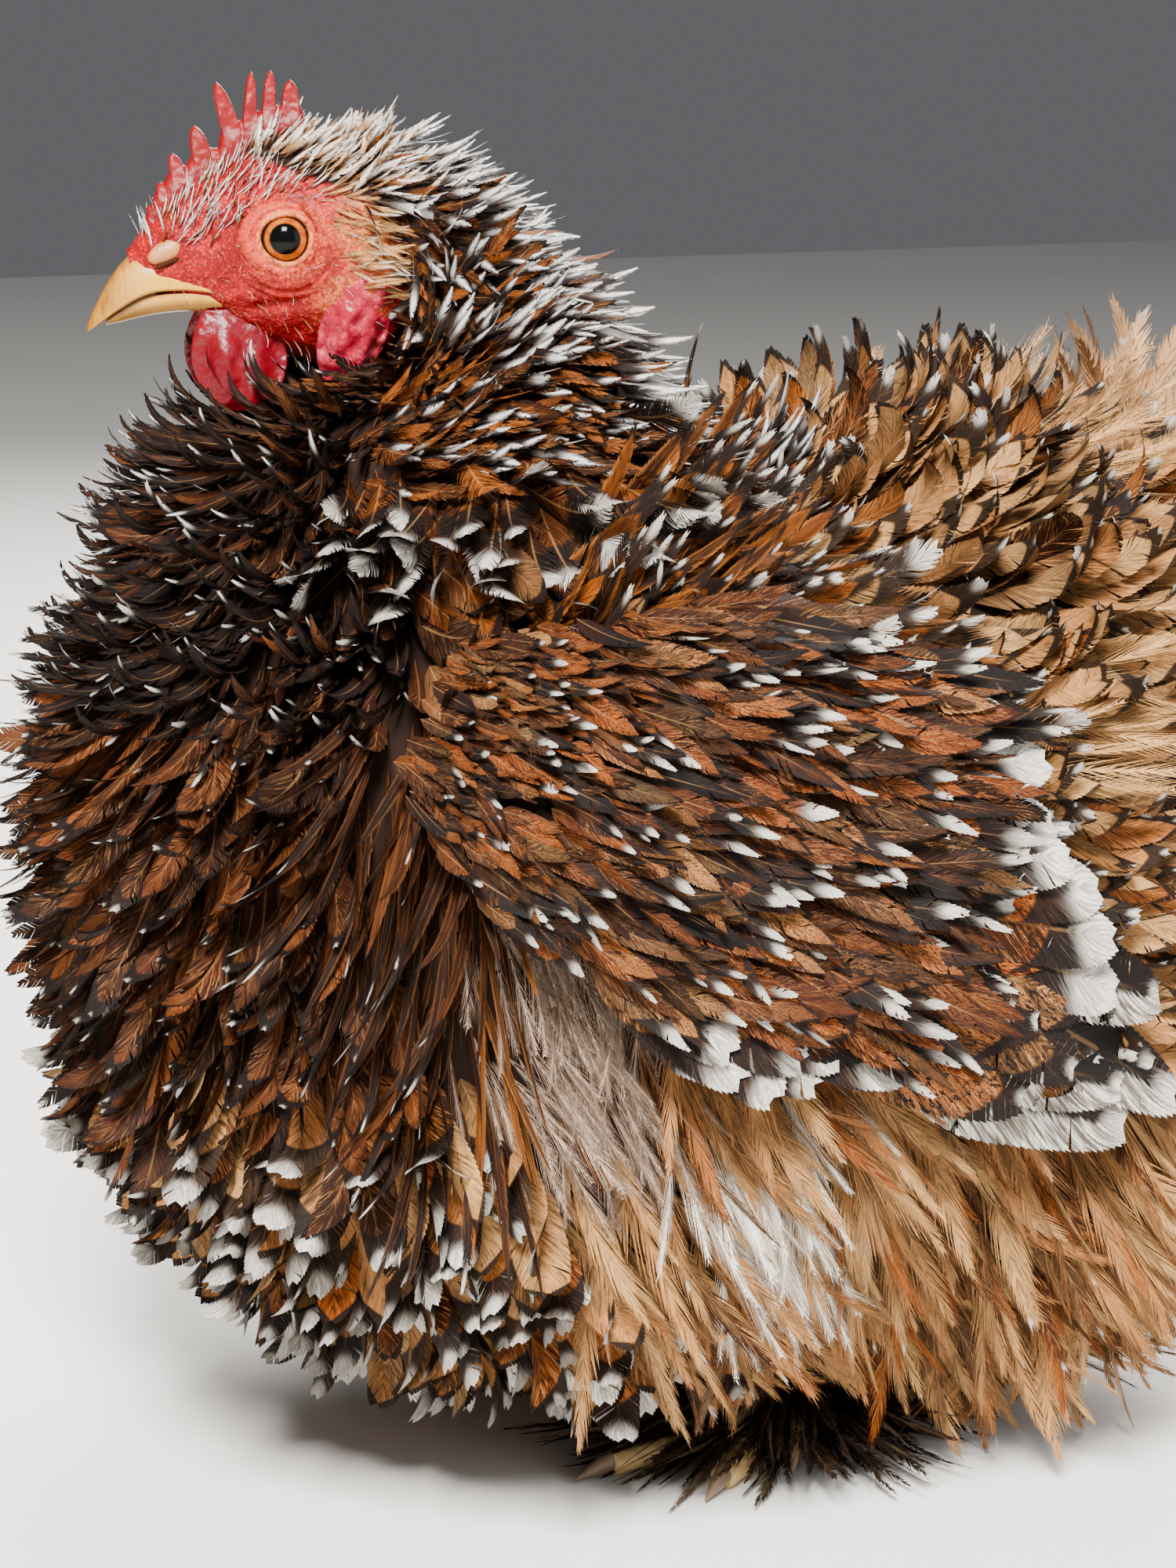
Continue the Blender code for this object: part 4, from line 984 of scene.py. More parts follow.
PATCHES = (
    Patch("bristles", {HEAD: ((6, 30), (10, 40), (14, 32), (17, 45), (3, 42), (20, 30))}, 1, 0.85, 4.6, 0.23,
          18, 24, (0.9, 0.1, 0.75), HAIR, 1.5, 0.92, 0, 0, 0, 40, 0, 0, 4.2),
    Patch("bristles", {HEAD: ((-8, 66), (-9, 78), (-10, 90))}, 1, 0.85, 6.2, 0.62, 7, 20, (1, 0.3, -0.2),
          WISP, 0.6, 0.35, 0, 0, 0.8, 45, 0, 0, 4),
    Patch("bristles", {HEAD: ((2, 140), (-4, 128), (-3, 110), (12, 100))}, 1, 1.9, 3.2, 0.10, 25, 40,
          (1, 0.2, -0.2), HAIR, 1, 0.35, 0, 0, 0.6, 40, 0, 0, 7),
    Patch("crown", {HEAD: ((4, 0), (4, 38), (-4, 20), (-8, 0), (-8, 50))}, 1, 0.85, 6.6, 0.66, 26, 18,
          (1, 0.2, 0.2), SPIKY, 1, 0.88, 0, 0, 0.3, 40),
    Patch("crown", {NECK: ((0.93, 0), (0.93, 50), (0.82, 0), (0.80, 42))}, 1, 1.4, 12, 1.25, 28, 18,
          (0.8, 0.1, -0.2), SPIKY, 0.90, 1, 0.08, 0.1, 0, 35),
    Patch("nape", {NECK: ((0.95, 85), (0.82, 80), (0.70, 90))}, 1, 1.15, 12, 1.3, 18, 18, (1, 0.1, -0.25),
          HACKLE, 0.60, 0.72, 0.12, 0.20, 0, 30),
    Patch("hackle", {NECK: ((0.68, 0), (0.66, 45), (0.52, 0), (0.52, 50))}, 1, 1.5, 18, 1.8, 20, 22,
          (0.8, 0.2, -0.55), HACKLE, 0.56, 0.9, 0.16, 0.25, 0, 26),
    Patch("hackle", {NECK: ((0.58, 90), (0.50, 85), (0.62, 115))}, 1, 1.3, 15, 1.55, 16, 22,
          (0.9, 0.2, -0.45), HACKLE, 0.50, 0.45, 0.12, 0.18, 0, 30),
    Patch("throat", {NECK: ((0.9, 150), (0.75, 130), (0.72, 170))}, 1, 1.35, 12, 1.15, 22, 20, (0.3, 0.3, -1),
          HACKLE, 0.16, 0.25, 0.06, 0.80, 0, 40),
    Patch("throat", {NECK: ((0.52, 150), (0.5, 180)), BODY: ((3, 46), (0, 41))}, 1, 1.8, 18, 1.25, 26, 60,
          (0.1, 0.5, -1), HACKLE, 0.26, 0.45, 0.06, 0.95, 0, 55),
    Patch("cape", {NECK: ((0.38, 132), (0.41, 115), (0.43, 98), (0.43, 80))}, 1, 2.7, 22, 3.4, 30, 34,
          (0.05, 0.7, -0.8), BRUSH, 0.42, 0.95, 0.24, 0.35, 0, 38),
    Patch("cape", {BODY: ((36, 36), (48, 40), (60, 48), (42, 30))}, 0.8, 3.1, 22, 3, 18, 50, (0.6, 0.4, -0.8),
          LEAF, 0.12, 0.4, 0.20, 0.40, 0.10, 34),
    Patch("flames", {BODY: ((46, 30), (54, 36), (62, 42), (72, 48))}, 0.62, 1.9, 25, 1.9, 22, 26,
          (0.9, 0.4, 0.75), PLUME, 0.20, 0.55, 0.16, 0.45, 0.10, 34, 0.08),
    Patch("breast", {BODY: ((0, 32), (20, 30), (-20, 32))}, 1, 1.9, 19, 1.6, 20, 80, (0.2, 0.3, -1), HACKLE,
          0.20, 0.42, 0.05, 0.95, 0, 55),
    Patch("breast", {BODY: ((0, 12), (20, 14), (0, -4), (24, 0))}, 1, 2.9, 22, 3.5, 20, 46, (0.2, 0.3, -1),
          LEAF, 0.10, 0.45, 0.06, 0.48, 0, 40),
    Patch("lower_breast", {BODY: ((0, -22), (22, -15), (38, -17), (20, -36), (44, -36))}, 1, 3.1, 21, 3.9, 13,
          58, (0.35, 0.3, -1), ROUND, 0.26, 0.80, 0.08, 0, 0.20, 24),
    Patch("plumes", {BODY: ((34, 20), (37, 10), (38, 0))}, 0.7, 2.7, 33, 1.2, 15, 34, (0, 0.1, -1), PLUME,
          0.16, 0.55, 0.04, 0.95, 0, 55, -0.12),
    Patch("flames", {BODY: ((43, 14), (43, 6), (44, -2))}, 0.32, 2.4, 36, 0.95, 12, 30, (0.16, 0.2, -1),
          PLUME, 0.06, 0.4, 0, 0.35, 0.12, 50, 0.10),
    Patch("scapular", {BODY: ((66, 44), (78, 48), (84, 38), (66, 32))}, 0.85, 3.5, 24, 3.4, 18, 40,
          (1, 0.4, -0.75), BRUSH, 0.24, 0.75, 0.20, 0.15, 0.05, 30),
    Patch("saddle", {BODY: ((130, 52), (155, 66), (180, 60), (110, 60), (95, 66))}, 1, 3.2, 23, 3.5, 14, 76,
          (1, 0.35, -0.3), LEAF, 0.18, 0.6, 0.12, 0.10, 0.34, 34),
    Patch("cushion", {BODY: ((122, 36), (126, 22), (150, 30), (180, 30))}, 1, 3.2, 25, 3.9, 14, 76,
          (1, 0.3, -0.6), LEAF, 0.15, 0.5, 0.10, 0, 0.46, 34),
    Patch("wisps", {BODY: ((150, 52), (132, 34), (118, 24), (180, 45))}, 0.74, 3.8, 28, 3.6, 30, 22,
          (1, 0.35, -0.2), FLUFF, 0, 0, 0, 0, 0.75, 30),
    Patch("rear", {BODY: ((180, 5), (150, 0), (180, -20), (150, -20))}, 1, 3.4, 30, 4, 18, 20,
          (0.9, 0.2, -0.7), LOOSE, 0.08, 0.25, 0.04, 0, 0.6, 16, 0.05),
    Patch("coverts", {BODY: ((60, 18), (66, 12), (85, 5), (105, 10), (120, 6))}, 0.9, 3.4, 22, 3.6, 16, 60,
          (1, 0.1, -0.5), LEAF, 0.16, 0.55, 0.1, 0, 0.24, 34),
    Patch("down", {BODY: ((47, 9), (50, 2), (50, -5), (55, -9))}, 0.92, 1.9, 16, 2, 20, 14, (0.4, 0.1, -1),
          FLUFF, 0, 0, 0, 0, 0, 30, 0, 0),
    Patch("flank", {BODY: ((66, -15), (68, -21), (70, -28))}, 0.78, 1.7, 22, 2.1, 22, 14, (0.3, 0.1, -1),
          FLUFF, 0, 0, 0, 0, 1, 26, 0, 0),
    Patch("thigh", {BODY: ((62, -8), (57, -20), (60, -32), (70, -36), (78, -20), (93, -28), (104, -26),
          (128, -36), (100, -48), (76, -40))}, 1, 2.6, 29, 3.1, 15, 12, (0.35, 0.15, -1), SOFT, 0.12, 0.07, 0,
          0.10, 0.34, 34, 0.06),
    Patch("under", {BODY: ((0, -62), (60, -62), (120, -68), (180, -62), (0, -88))}, 1, 5, 20, 4, 10, 0,
          (0.7, 0.3, -0.3), LOOSE, 0, 0, 0, 0, 0.45),
)


class Kind(Enum):
    """The kinds of feather in the coat: the name of each one's slot and its finish."""

    HACKLE = ("hackle_feathers", Plumage("hackle feathers", white=(0.95, 0.93, 0.90), grey=(0.17, 0.13, 0.11),
                                         pepper=0.1, rimmed=0.8))
    BODY = ("body_feathers", Plumage("body feathers"))
    BREAST = ("body_feathers", Plumage("breast feathers", (0.185, 0.046, 0.008)))
    PLUMES = ("body_feathers", Plumage("plumes", (0.12, 0.028, 0.004), buff=(0.46, 0.15, 0.024), fringe=0.15))
    FLAMES = ("body_feathers", Plumage("flames", buff=(0.42, 0.14, 0.022), fringe=0.45))
    DOWN = ("body_feathers", Plumage("down feathers", (0.33, 0.22, 0.15), (0.13, 0.082, 0.056),
                                     (0.84, 0.76, 0.64), pepper=0.0))


KINDS = {**dict.fromkeys(("bristles", "crown", "nape", "hackle", "throat"), Kind.HACKLE),
         **dict.fromkeys(("down", "flank"), Kind.DOWN),
         "breast": Kind.BREAST, "plumes": Kind.PLUMES, "flames": Kind.FLAMES}


# The skin


@dataclass
class Skin:
    """One skin for head, neck, body and thighs: rings from the beak's root to the pole under the belly.

    Bare skin is ahead of bare_line, at heights bare_heights. A peach spot is its middle on the head, its half
    sizes and its strength. A thigh is a cone with radii at heights.
    """

    columns: int = 240
    head_step: float = 0.42
    neck_rows: int = 40
    body_rows: int = 60
    neck_low: float = 0.2
    body_depth: float = 13.0
    thigh_heights: tuple = (13.7, 19, 28, 56)
    thigh_radii: tuple = (5.0, 9.0, 13.0, 15.0)
    cheek: tuple = (-4.0, 13.5, -6.5)
    cheek_size: tuple = (5.5, 6, 4.5)
    bare_heights: tuple = (-22, -12, 0, 8, 12, 16, 22)
    bare_line: tuple = (-9, -12.5, -13.0, -8.5, -1.0, 8.0, 14.0)
    peach_spots: tuple = (((4.0, 13, 3.0), (6.8, 9, 6.2), 0.45), ((-7.5, 15, 3.5), (5, 9, 6.5), 1.0),
                          ((-5.0, 13, -6.5), (6.0, 9, 4.5), 0.75))
    points: Array | None = None
    normals: Array | None = None
    spread: Array | None = None
    faces: list | None = None

    def depth(self, forward: Array, around: Array) -> Array:
        """How deep the head's skin lies under its feathers: 0 on the face, 4 mm at its back and crown."""
        crown = ease(np.abs(np.cos(np.radians(around) / 2)), 0.80, 0.97) * ease(-forward, -6, 6) * 2.5
        return np.maximum(ease(-forward, 7, 14) * 4.0, crown)

    def rings(self) -> Array:
        """Head rings by distance forward, neck rings by share of its path pushed out to the body where that
        reaches further, then body rings by angle from the neck's foot to the pole under the belly."""
        around = np.arange(self.columns) * 360.0 / self.columns
        forward = np.append(27.4, np.arange(26.9, HEAD_BACK, -self.head_step))[:, None]
        head = over_head(forward, around[None], -self.depth(forward, around[None]))
        t = np.linspace(0.985, self.neck_low, self.neck_rows)[:, None]
        neck = over_neck(t, around[None], -(4.0 + 5.0 * ease(1 - t, 0, 0.4)))
        away = neck - BODY_CENTRE
        far, way = np.linalg.norm(away, axis=-1), unit(away)
        reach = body_reach(way) - self.body_depth
        neck = BODY_CENTRE + way * ((far**10 + reach**10) ** 0.1)[..., None]
        axis = unit(neck[-1].mean(0) - BODY_CENTRE)
        start = unit(neck[-1] - BODY_CENTRE)
        angle = np.arccos(np.clip(start @ axis, -1, 1))
        level = unit(start - (start @ axis)[:, None] * axis)
        share = (np.arange(1, self.body_rows) / self.body_rows)[:, None]
        theta = angle + (math.pi - angle) * share * 0.985
        way = np.cos(theta)[..., None] * axis + np.sin(theta)[..., None] * level
        first = np.linalg.norm(neck[-1] - BODY_CENTRE, axis=-1)
        radius = body_reach(way) - self.body_depth
        radius = radius + (first - radius[0]) * np.exp(-share * 9)
        return np.concatenate([head, neck, BODY_CENTRE + way * radius[..., None]])

    def face_relief(self, points: Array) -> Array:
        """Moves the head's skin: a hollow for each eyeball, a brow over it, a full cheek, a fold back from
        the gape, and fine warts, each a smooth bump exp(-distance^2) about its place.

        Args:
            points: the skin's points.

        Returns:
            The moved points.
        """
        local = to_head(points)
        near = ease(-np.abs(local[:, 0] - 8), -26, -20)
        out = unit(np.stack([0.15 * np.ones(len(local)), local[:, 1] / 12, local[:, 2] / 18], -1))
        move = 0.05 * ripple(points, 1.5, 4) + 0.16 * ripple(points, 4.2, 5)
        for side in Side:
            own = np.sign(local[:, 1]) == side.value
            eye = local - side.mirror(EYE_PLACE)
            axis = unit(side.mirror(EYE_GAZE))
            along = eye @ axis
            radial = np.linalg.norm(eye - along[:, None] * axis, axis=1)
            pit = own * (along > -3) * ease(-radial, -4.9, -4.3)
            local = local - (pit * np.maximum(along - 0.5, 0))[:, None] * axis
            wave = radial + 0.30 * ripple(points, 5.0, 8 + side.value)
            wrinkle = np.cos((wave - 6.0) * 2 * math.pi / 1.25) * np.exp(-((radial - 8.0) / 2.4) ** 2)
            move = move + own * (0.20 * wrinkle + 0.7 * np.exp(-((radial - 6.2) / 1.6) ** 2)) * (radial > 4.8)
            cheek = (local - side.mirror(self.cheek)) / self.cheek_size
            move = move + 0.9 * np.exp(-(cheek**2).sum(-1))
            line = np.abs(local[:, 2] + 7.2 + 0.10 * (local[:, 0] - 10)) / 0.9
            gape = own * np.exp(-line**2) * ease(local[:, 0], 1.0, 5.0) * ease(-local[:, 0], -12, -8)
            move = move - 0.9 * gape
        return from_head(local + out * (move * near)[:, None])

    def tints(self, points: Array) -> dict:
        """Where the skin is bare, ahead of a line from crown to throat, and where it is peach, by
        strength * exp(-distance^4).

        Args:
            points: places on the skin.

        Returns:
            Both as numbers of 0 to 1 by label.
        """
        local = to_head(points)
        forward, _, up = local.T
        edge = through(self.bare_heights, self.bare_line, up)
        bare = ease(forward - edge, -0.5, 2.0) * ease(up, -19.5, -16.5) * ease(forward, -16, -14)
        peach = np.zeros(len(points))
        for side in Side:
            for middle, size, amount in self.peach_spots:
                far = (((local - side.mirror(middle)) / np.array(size)) ** 2).sum(-1)
                peach = np.maximum(peach, amount * np.exp(-far**2))
        return {"bare": bare, "peach": peach}

    def thigh(self, side: int) -> tuple:
        """A cone of skin from the shank up into the body."""
        z = np.linspace(self.thigh_heights[0], self.thigh_heights[-1], 12)[:, None]
        around = circle(32)
        radius = through(self.thigh_heights, self.thigh_radii, z)
        rings = np.stack([LEG_X + radius * np.cos(around), -side * LEG_Y + radius * np.sin(around),
                          z + 0 * around], -1)
        return closed_tube(rings)

    def build(self) -> Object:
        """Makes the skin and keeps its points, normals and map for the coat that grows from it."""
        rings = self.rings()
        points, faces = closed_tube(rings)
        points = self.face_relief(points)
        normals = np.zeros_like(points)
        for block in faces:
            corners = points[block]
            facing = np.cross(corners[:, 2] - corners[:, 0], corners[:, -1] - corners[:, 1])
            for corner in range(block.shape[1]):
                np.add.at(normals, block[:, corner], facing)
        length = np.concatenate([[0], np.cumsum(np.linalg.norm(np.diff(rings, axis=0), axis=-1).mean(1))])
        share = length / length[-1]
        across = np.arange(self.columns) / self.columns
        where = np.stack(np.broadcast_arrays(across[None], share[:, None]), -1)
        where = where.reshape(-1, 2) * 0.98 + 0.01
        self.points, self.normals = points, unit(normals)
        self.normals = self.normals * np.sign((self.normals * (points - points.mean(0))).sum(-1).mean())
        self.spread = np.concatenate([where, [[0.5, 0.01], [0.5, 0.99]]])
        self.faces = faces
        everything, blocks = joined([(points, faces)] + [self.thigh(side.value) for side in Side])
        skin = add_piece("skin", everything, blocks, None, self.tints(everything))
        return settle(skin, Flesh().material(), "face_skin",
                      "head", "neck", "torso", "thigh_left", "thigh_right")


# The coat


@dataclass
class Coat:
    """The body's feathers, sown over the skin and shared out among the patches."""

    skin: Skin
    seed: int = 21
    sown: int = 110000

    def sow(self, dice: Dice) -> tuple:
        """Random places on the skin, evenly by area, up to four times as many on head and neck.

        Args:
            dice: random numbers.

        Returns:
            Points, normals and map places.
        """
        quads = self.skin.faces[0]
        corners = self.skin.points[quads]
        size = np.linalg.norm(np.cross(corners[:, 2] - corners[:, 0], corners[:, 3] - corners[:, 1]), axis=-1)
        crowd = 1 + 3 * ease(corners[:, 0, 2], 130, 165)
        chosen = dice.choice(len(quads), self.sown, p=size * crowd / (size * crowd).sum())
        a, b = dice.uniform(size=(2, self.sown, 1))
        corner = quads[chosen]
        weights = ((1 - a) * (1 - b), a * (1 - b), a * b, (1 - a) * b)
        place = sum(w * corners[chosen, k] for k, w in enumerate(weights))
        normal = unit(sum(w * self.skin.normals[corner[:, k]] for k, w in enumerate(weights)))
        return place, normal, self.skin.spread[corner[:, 0]]

    def thinned(self, places: Array, gaps: Array) -> Array:
        """Keeps places that stand at least a gap from those kept before them, by a hash of cells.

        Args:
            places: points in random order.
            gaps: the gap of each.

        Returns:
            The numbers of those kept.
        """
        cell = float(gaps.max())
        boxes: dict = {}
        kept = []
        keys = np.floor(places / cell).astype(int).tolist()
        spots, room = places.tolist(), (gaps**2).tolist()
        around = [(i, j, k) for i in (-1, 0, 1) for j in (-1, 0, 1) for k in (-1, 0, 1)]
        for number, (key, spot, least) in enumerate(zip(keys, spots, room)):
            clear = True
            for i, j, k in around:
                for other in boxes.get((key[0] + i, key[1] + j, key[2] + k), ()):
                    if (other[0] - spot[0])**2 + (other[1] - spot[1])**2 + (other[2] - spot[2])**2 < least:
                        clear = False
                        break
                if not clear:
                    break
            if clear:
                boxes.setdefault(tuple(key), []).append(spot)
                kept.append(number)
        return np.array(kept)

    def build(self) -> None:
        """Grows each patch: a place joins the patch whose landmark is nearest, give or take some chance."""
        dice = np.random.default_rng(self.seed)
        place, normal, spread = self.sow(dice)
        local = to_head(place)
        under_chin = (local[:, 0] > 3) & (local[:, 2] < 0) & (np.linalg.norm(local, axis=1) < 26)
        bare = (self.skin.tints(place)["bare"] > 0.6) | under_chin
        outside = place + normal * np.where(place[:, 2:] > 160, 5, 13)
        nearest = np.full((len(place), len(PATCHES)), 1e9)
        for number, patch in enumerate(PATCHES):
            for mark in patch.landmarks():
                far = np.linalg.norm(outside - mark, axis=1) / patch.reach
                nearest[:, number] = np.minimum(nearest[:, number], far)
        bald = np.array([patch.bald for patch in PATCHES])
        nearest[bare] = np.where(nearest[bare] < bald + 5.0 * (bald > 0), nearest[bare], 1e9)
        nearest[~bare] += 1e6 * (bald > 0)
        good = nearest.min(1) < 1e5
        nearest += dice.normal(size=nearest.shape) * 3.6
        owner = nearest.argmin(1)
        gaps = np.array([patch.spacing for patch in PATCHES])[owner]
        numbers = np.flatnonzero(good)
        numbers = numbers[self.thinned(place[numbers], gaps[numbers])]
        finishes = {kind: kind.value[1].material() for kind in Kind}
        pieces: dict = {}
        for number, patch in enumerate(PATCHES):
            own = numbers[owner[numbers] == number]
            if len(own):
                flock = self.flock(patch, place[own], normal[own], spread[own], dice)
                pieces.setdefault(patch.piece, []).append(flock_batch(flock, patch.cut, dice))
        for piece, batches in pieces.items():
            kind = KINDS.get(piece, Kind.BODY)
            settle(feather_piece(f"coat_{piece}", batches), finishes[kind], kind.value[0])

    def flock(self, patch: Patch, place: Array, normal: Array, spread: Array,
              dice: Dice) -> Flock:
        """The feathers of one patch.

        Args:
            patch: the region.
            place: roots.
            normal: the skin's normals there.
            spread: their map places.
            dice: random numbers.

        Returns:
            The flock.
        """
        count = len(place)
        side = np.where(place[:, 1] < 0, -1.0, 1.0) * ease(np.abs(place[:, 1]), 0, 12)
        back, outwards, up = patch.flow
        flow = np.stack([np.full(count, back), outwards * side, np.full(count, up)], -1)
        drift = np.stack([ripple(place, 26.0, 61 + k) for k in range(3)], -1)
        flow = unit(flow) + dice.normal(size=(count, 3)) * 0.20 + 0.26 * drift
        lie = unit(flow - (flow * normal).sum(-1, keepdims=True) * normal)
        grown = dice.normal(1, 0.11, count).clip(0.7, 1.35)
        tipped = dice.uniform(size=count) < patch.chance
        marks = marked(count, dice=dice.uniform(size=count),
                       tip=np.where(tipped, patch.tip * dice.uniform(0.6, 1.3, count), 0),
                       band=patch.band * dice.uniform(0.6, 1.4, count),
                       dark=np.clip(patch.dark + dice.normal(size=count) * 0.20, 0, 1) * (patch.dark > 0),
                       pale=np.clip(patch.pale + dice.normal(size=count) * 0.22, 0, 1) * (patch.pale > 0),
                       pepper=patch.pepper)
        return Flock(place, normal, lie, spread, patch.length * grown,
                     patch.half_width * grown * dice.normal(1, 0.10, count),
                     patch.lift + dice.normal(size=count) * 6 + 6 * ripple(place, 18.0, 71),
                     patch.curl * dice.uniform(0.2, 1.7, count), patch.sway + dice.normal(size=count) * 0.09,
                     dice.normal(size=count) * patch.roll, 0.28, marks)


@dataclass(frozen=True)
class Tier:
    """A row of wing feathers, from its first to its last.

    Roots, lengths, bearings and half widths are degrees over the wing's map, heights mm. Tip, band, dark,
    pale, pepper and edge are the shares of white, black bar, darkness, buff, peppering and white lower edge,
    and chance is how many have a tip.
    """

    first: tuple
    last: tuple
    lengths: tuple
    bearings: tuple
    half_width: float
    heights: tuple
    count: int
    tip: float
    band: float
    dark: float
    pale: float
    cut: Cut
    chance: float = 0.95
    pepper: float = 1.2
    edge: float = 0.0


QUILL = Cut(barbs=28, closed=0.95, slope=0.07, fray=0.02, shoulder=5.0, point=0.6, base=0.5, splits=0.08)
STROKE = Cut(barbs=15, closed=0.9, slope=0.20, fray=0.05, shoulder=1.7, point=0.85, base=0.5, splits=0.1)
COVERT = Cut(barbs=18, closed=0.94, slope=0.13, fray=0.04, shoulder=2.5, point=0.75, base=0.5, splits=0.08)

TIERS = (
    Tier((41, -9), (46, 4), (34, 33), (-5, -2), 4.6, (0.4, 1.4), 5, 0.17, 0, 1.5, 0, QUILL, 1, 0.3, 0.44),
    Tier((30, 0), (22, 29), (28, 25), (2, 8), 4, (1.8, 3.8), 14, 0.17, 0.10, 0, 0, COVERT, 0.7, 1.2),
    Tier((45, 4), (34, 25), (17, 16), (0, 12), 3.7, (3, 5), 9, 0.44, 0.14, 0, 0, ROUND, 1, 1.2),
    Tier((25, -4), (30, 5), (28, 29), (-8, -4), 4.6, (3, 4.6), 7, 0.10, 0.05, 0, 0.10, QUILL, 0.4, 1.3),
    Tier((19, -2), (25, -5), (18, 18), (-28, -4), 3.2, (1.8, 3.6), 6, 0.25, 0.14, 0, 0.1, ROUND, 1, 1.2),
    Tier((17, -3), (12, 28), (25, 24), (-8, 12), 4, (2.6, 4.8), 13, 0.12, 0.08, 0, 0, COVERT, 0.4, 1.3),
    Tier((9, -1), (14, -4), (19, 19), (-38, -12), 3, (2.2, 4), 7, 0.26, 0.14, 0, 0.1, ROUND, 1, 1.2),
)


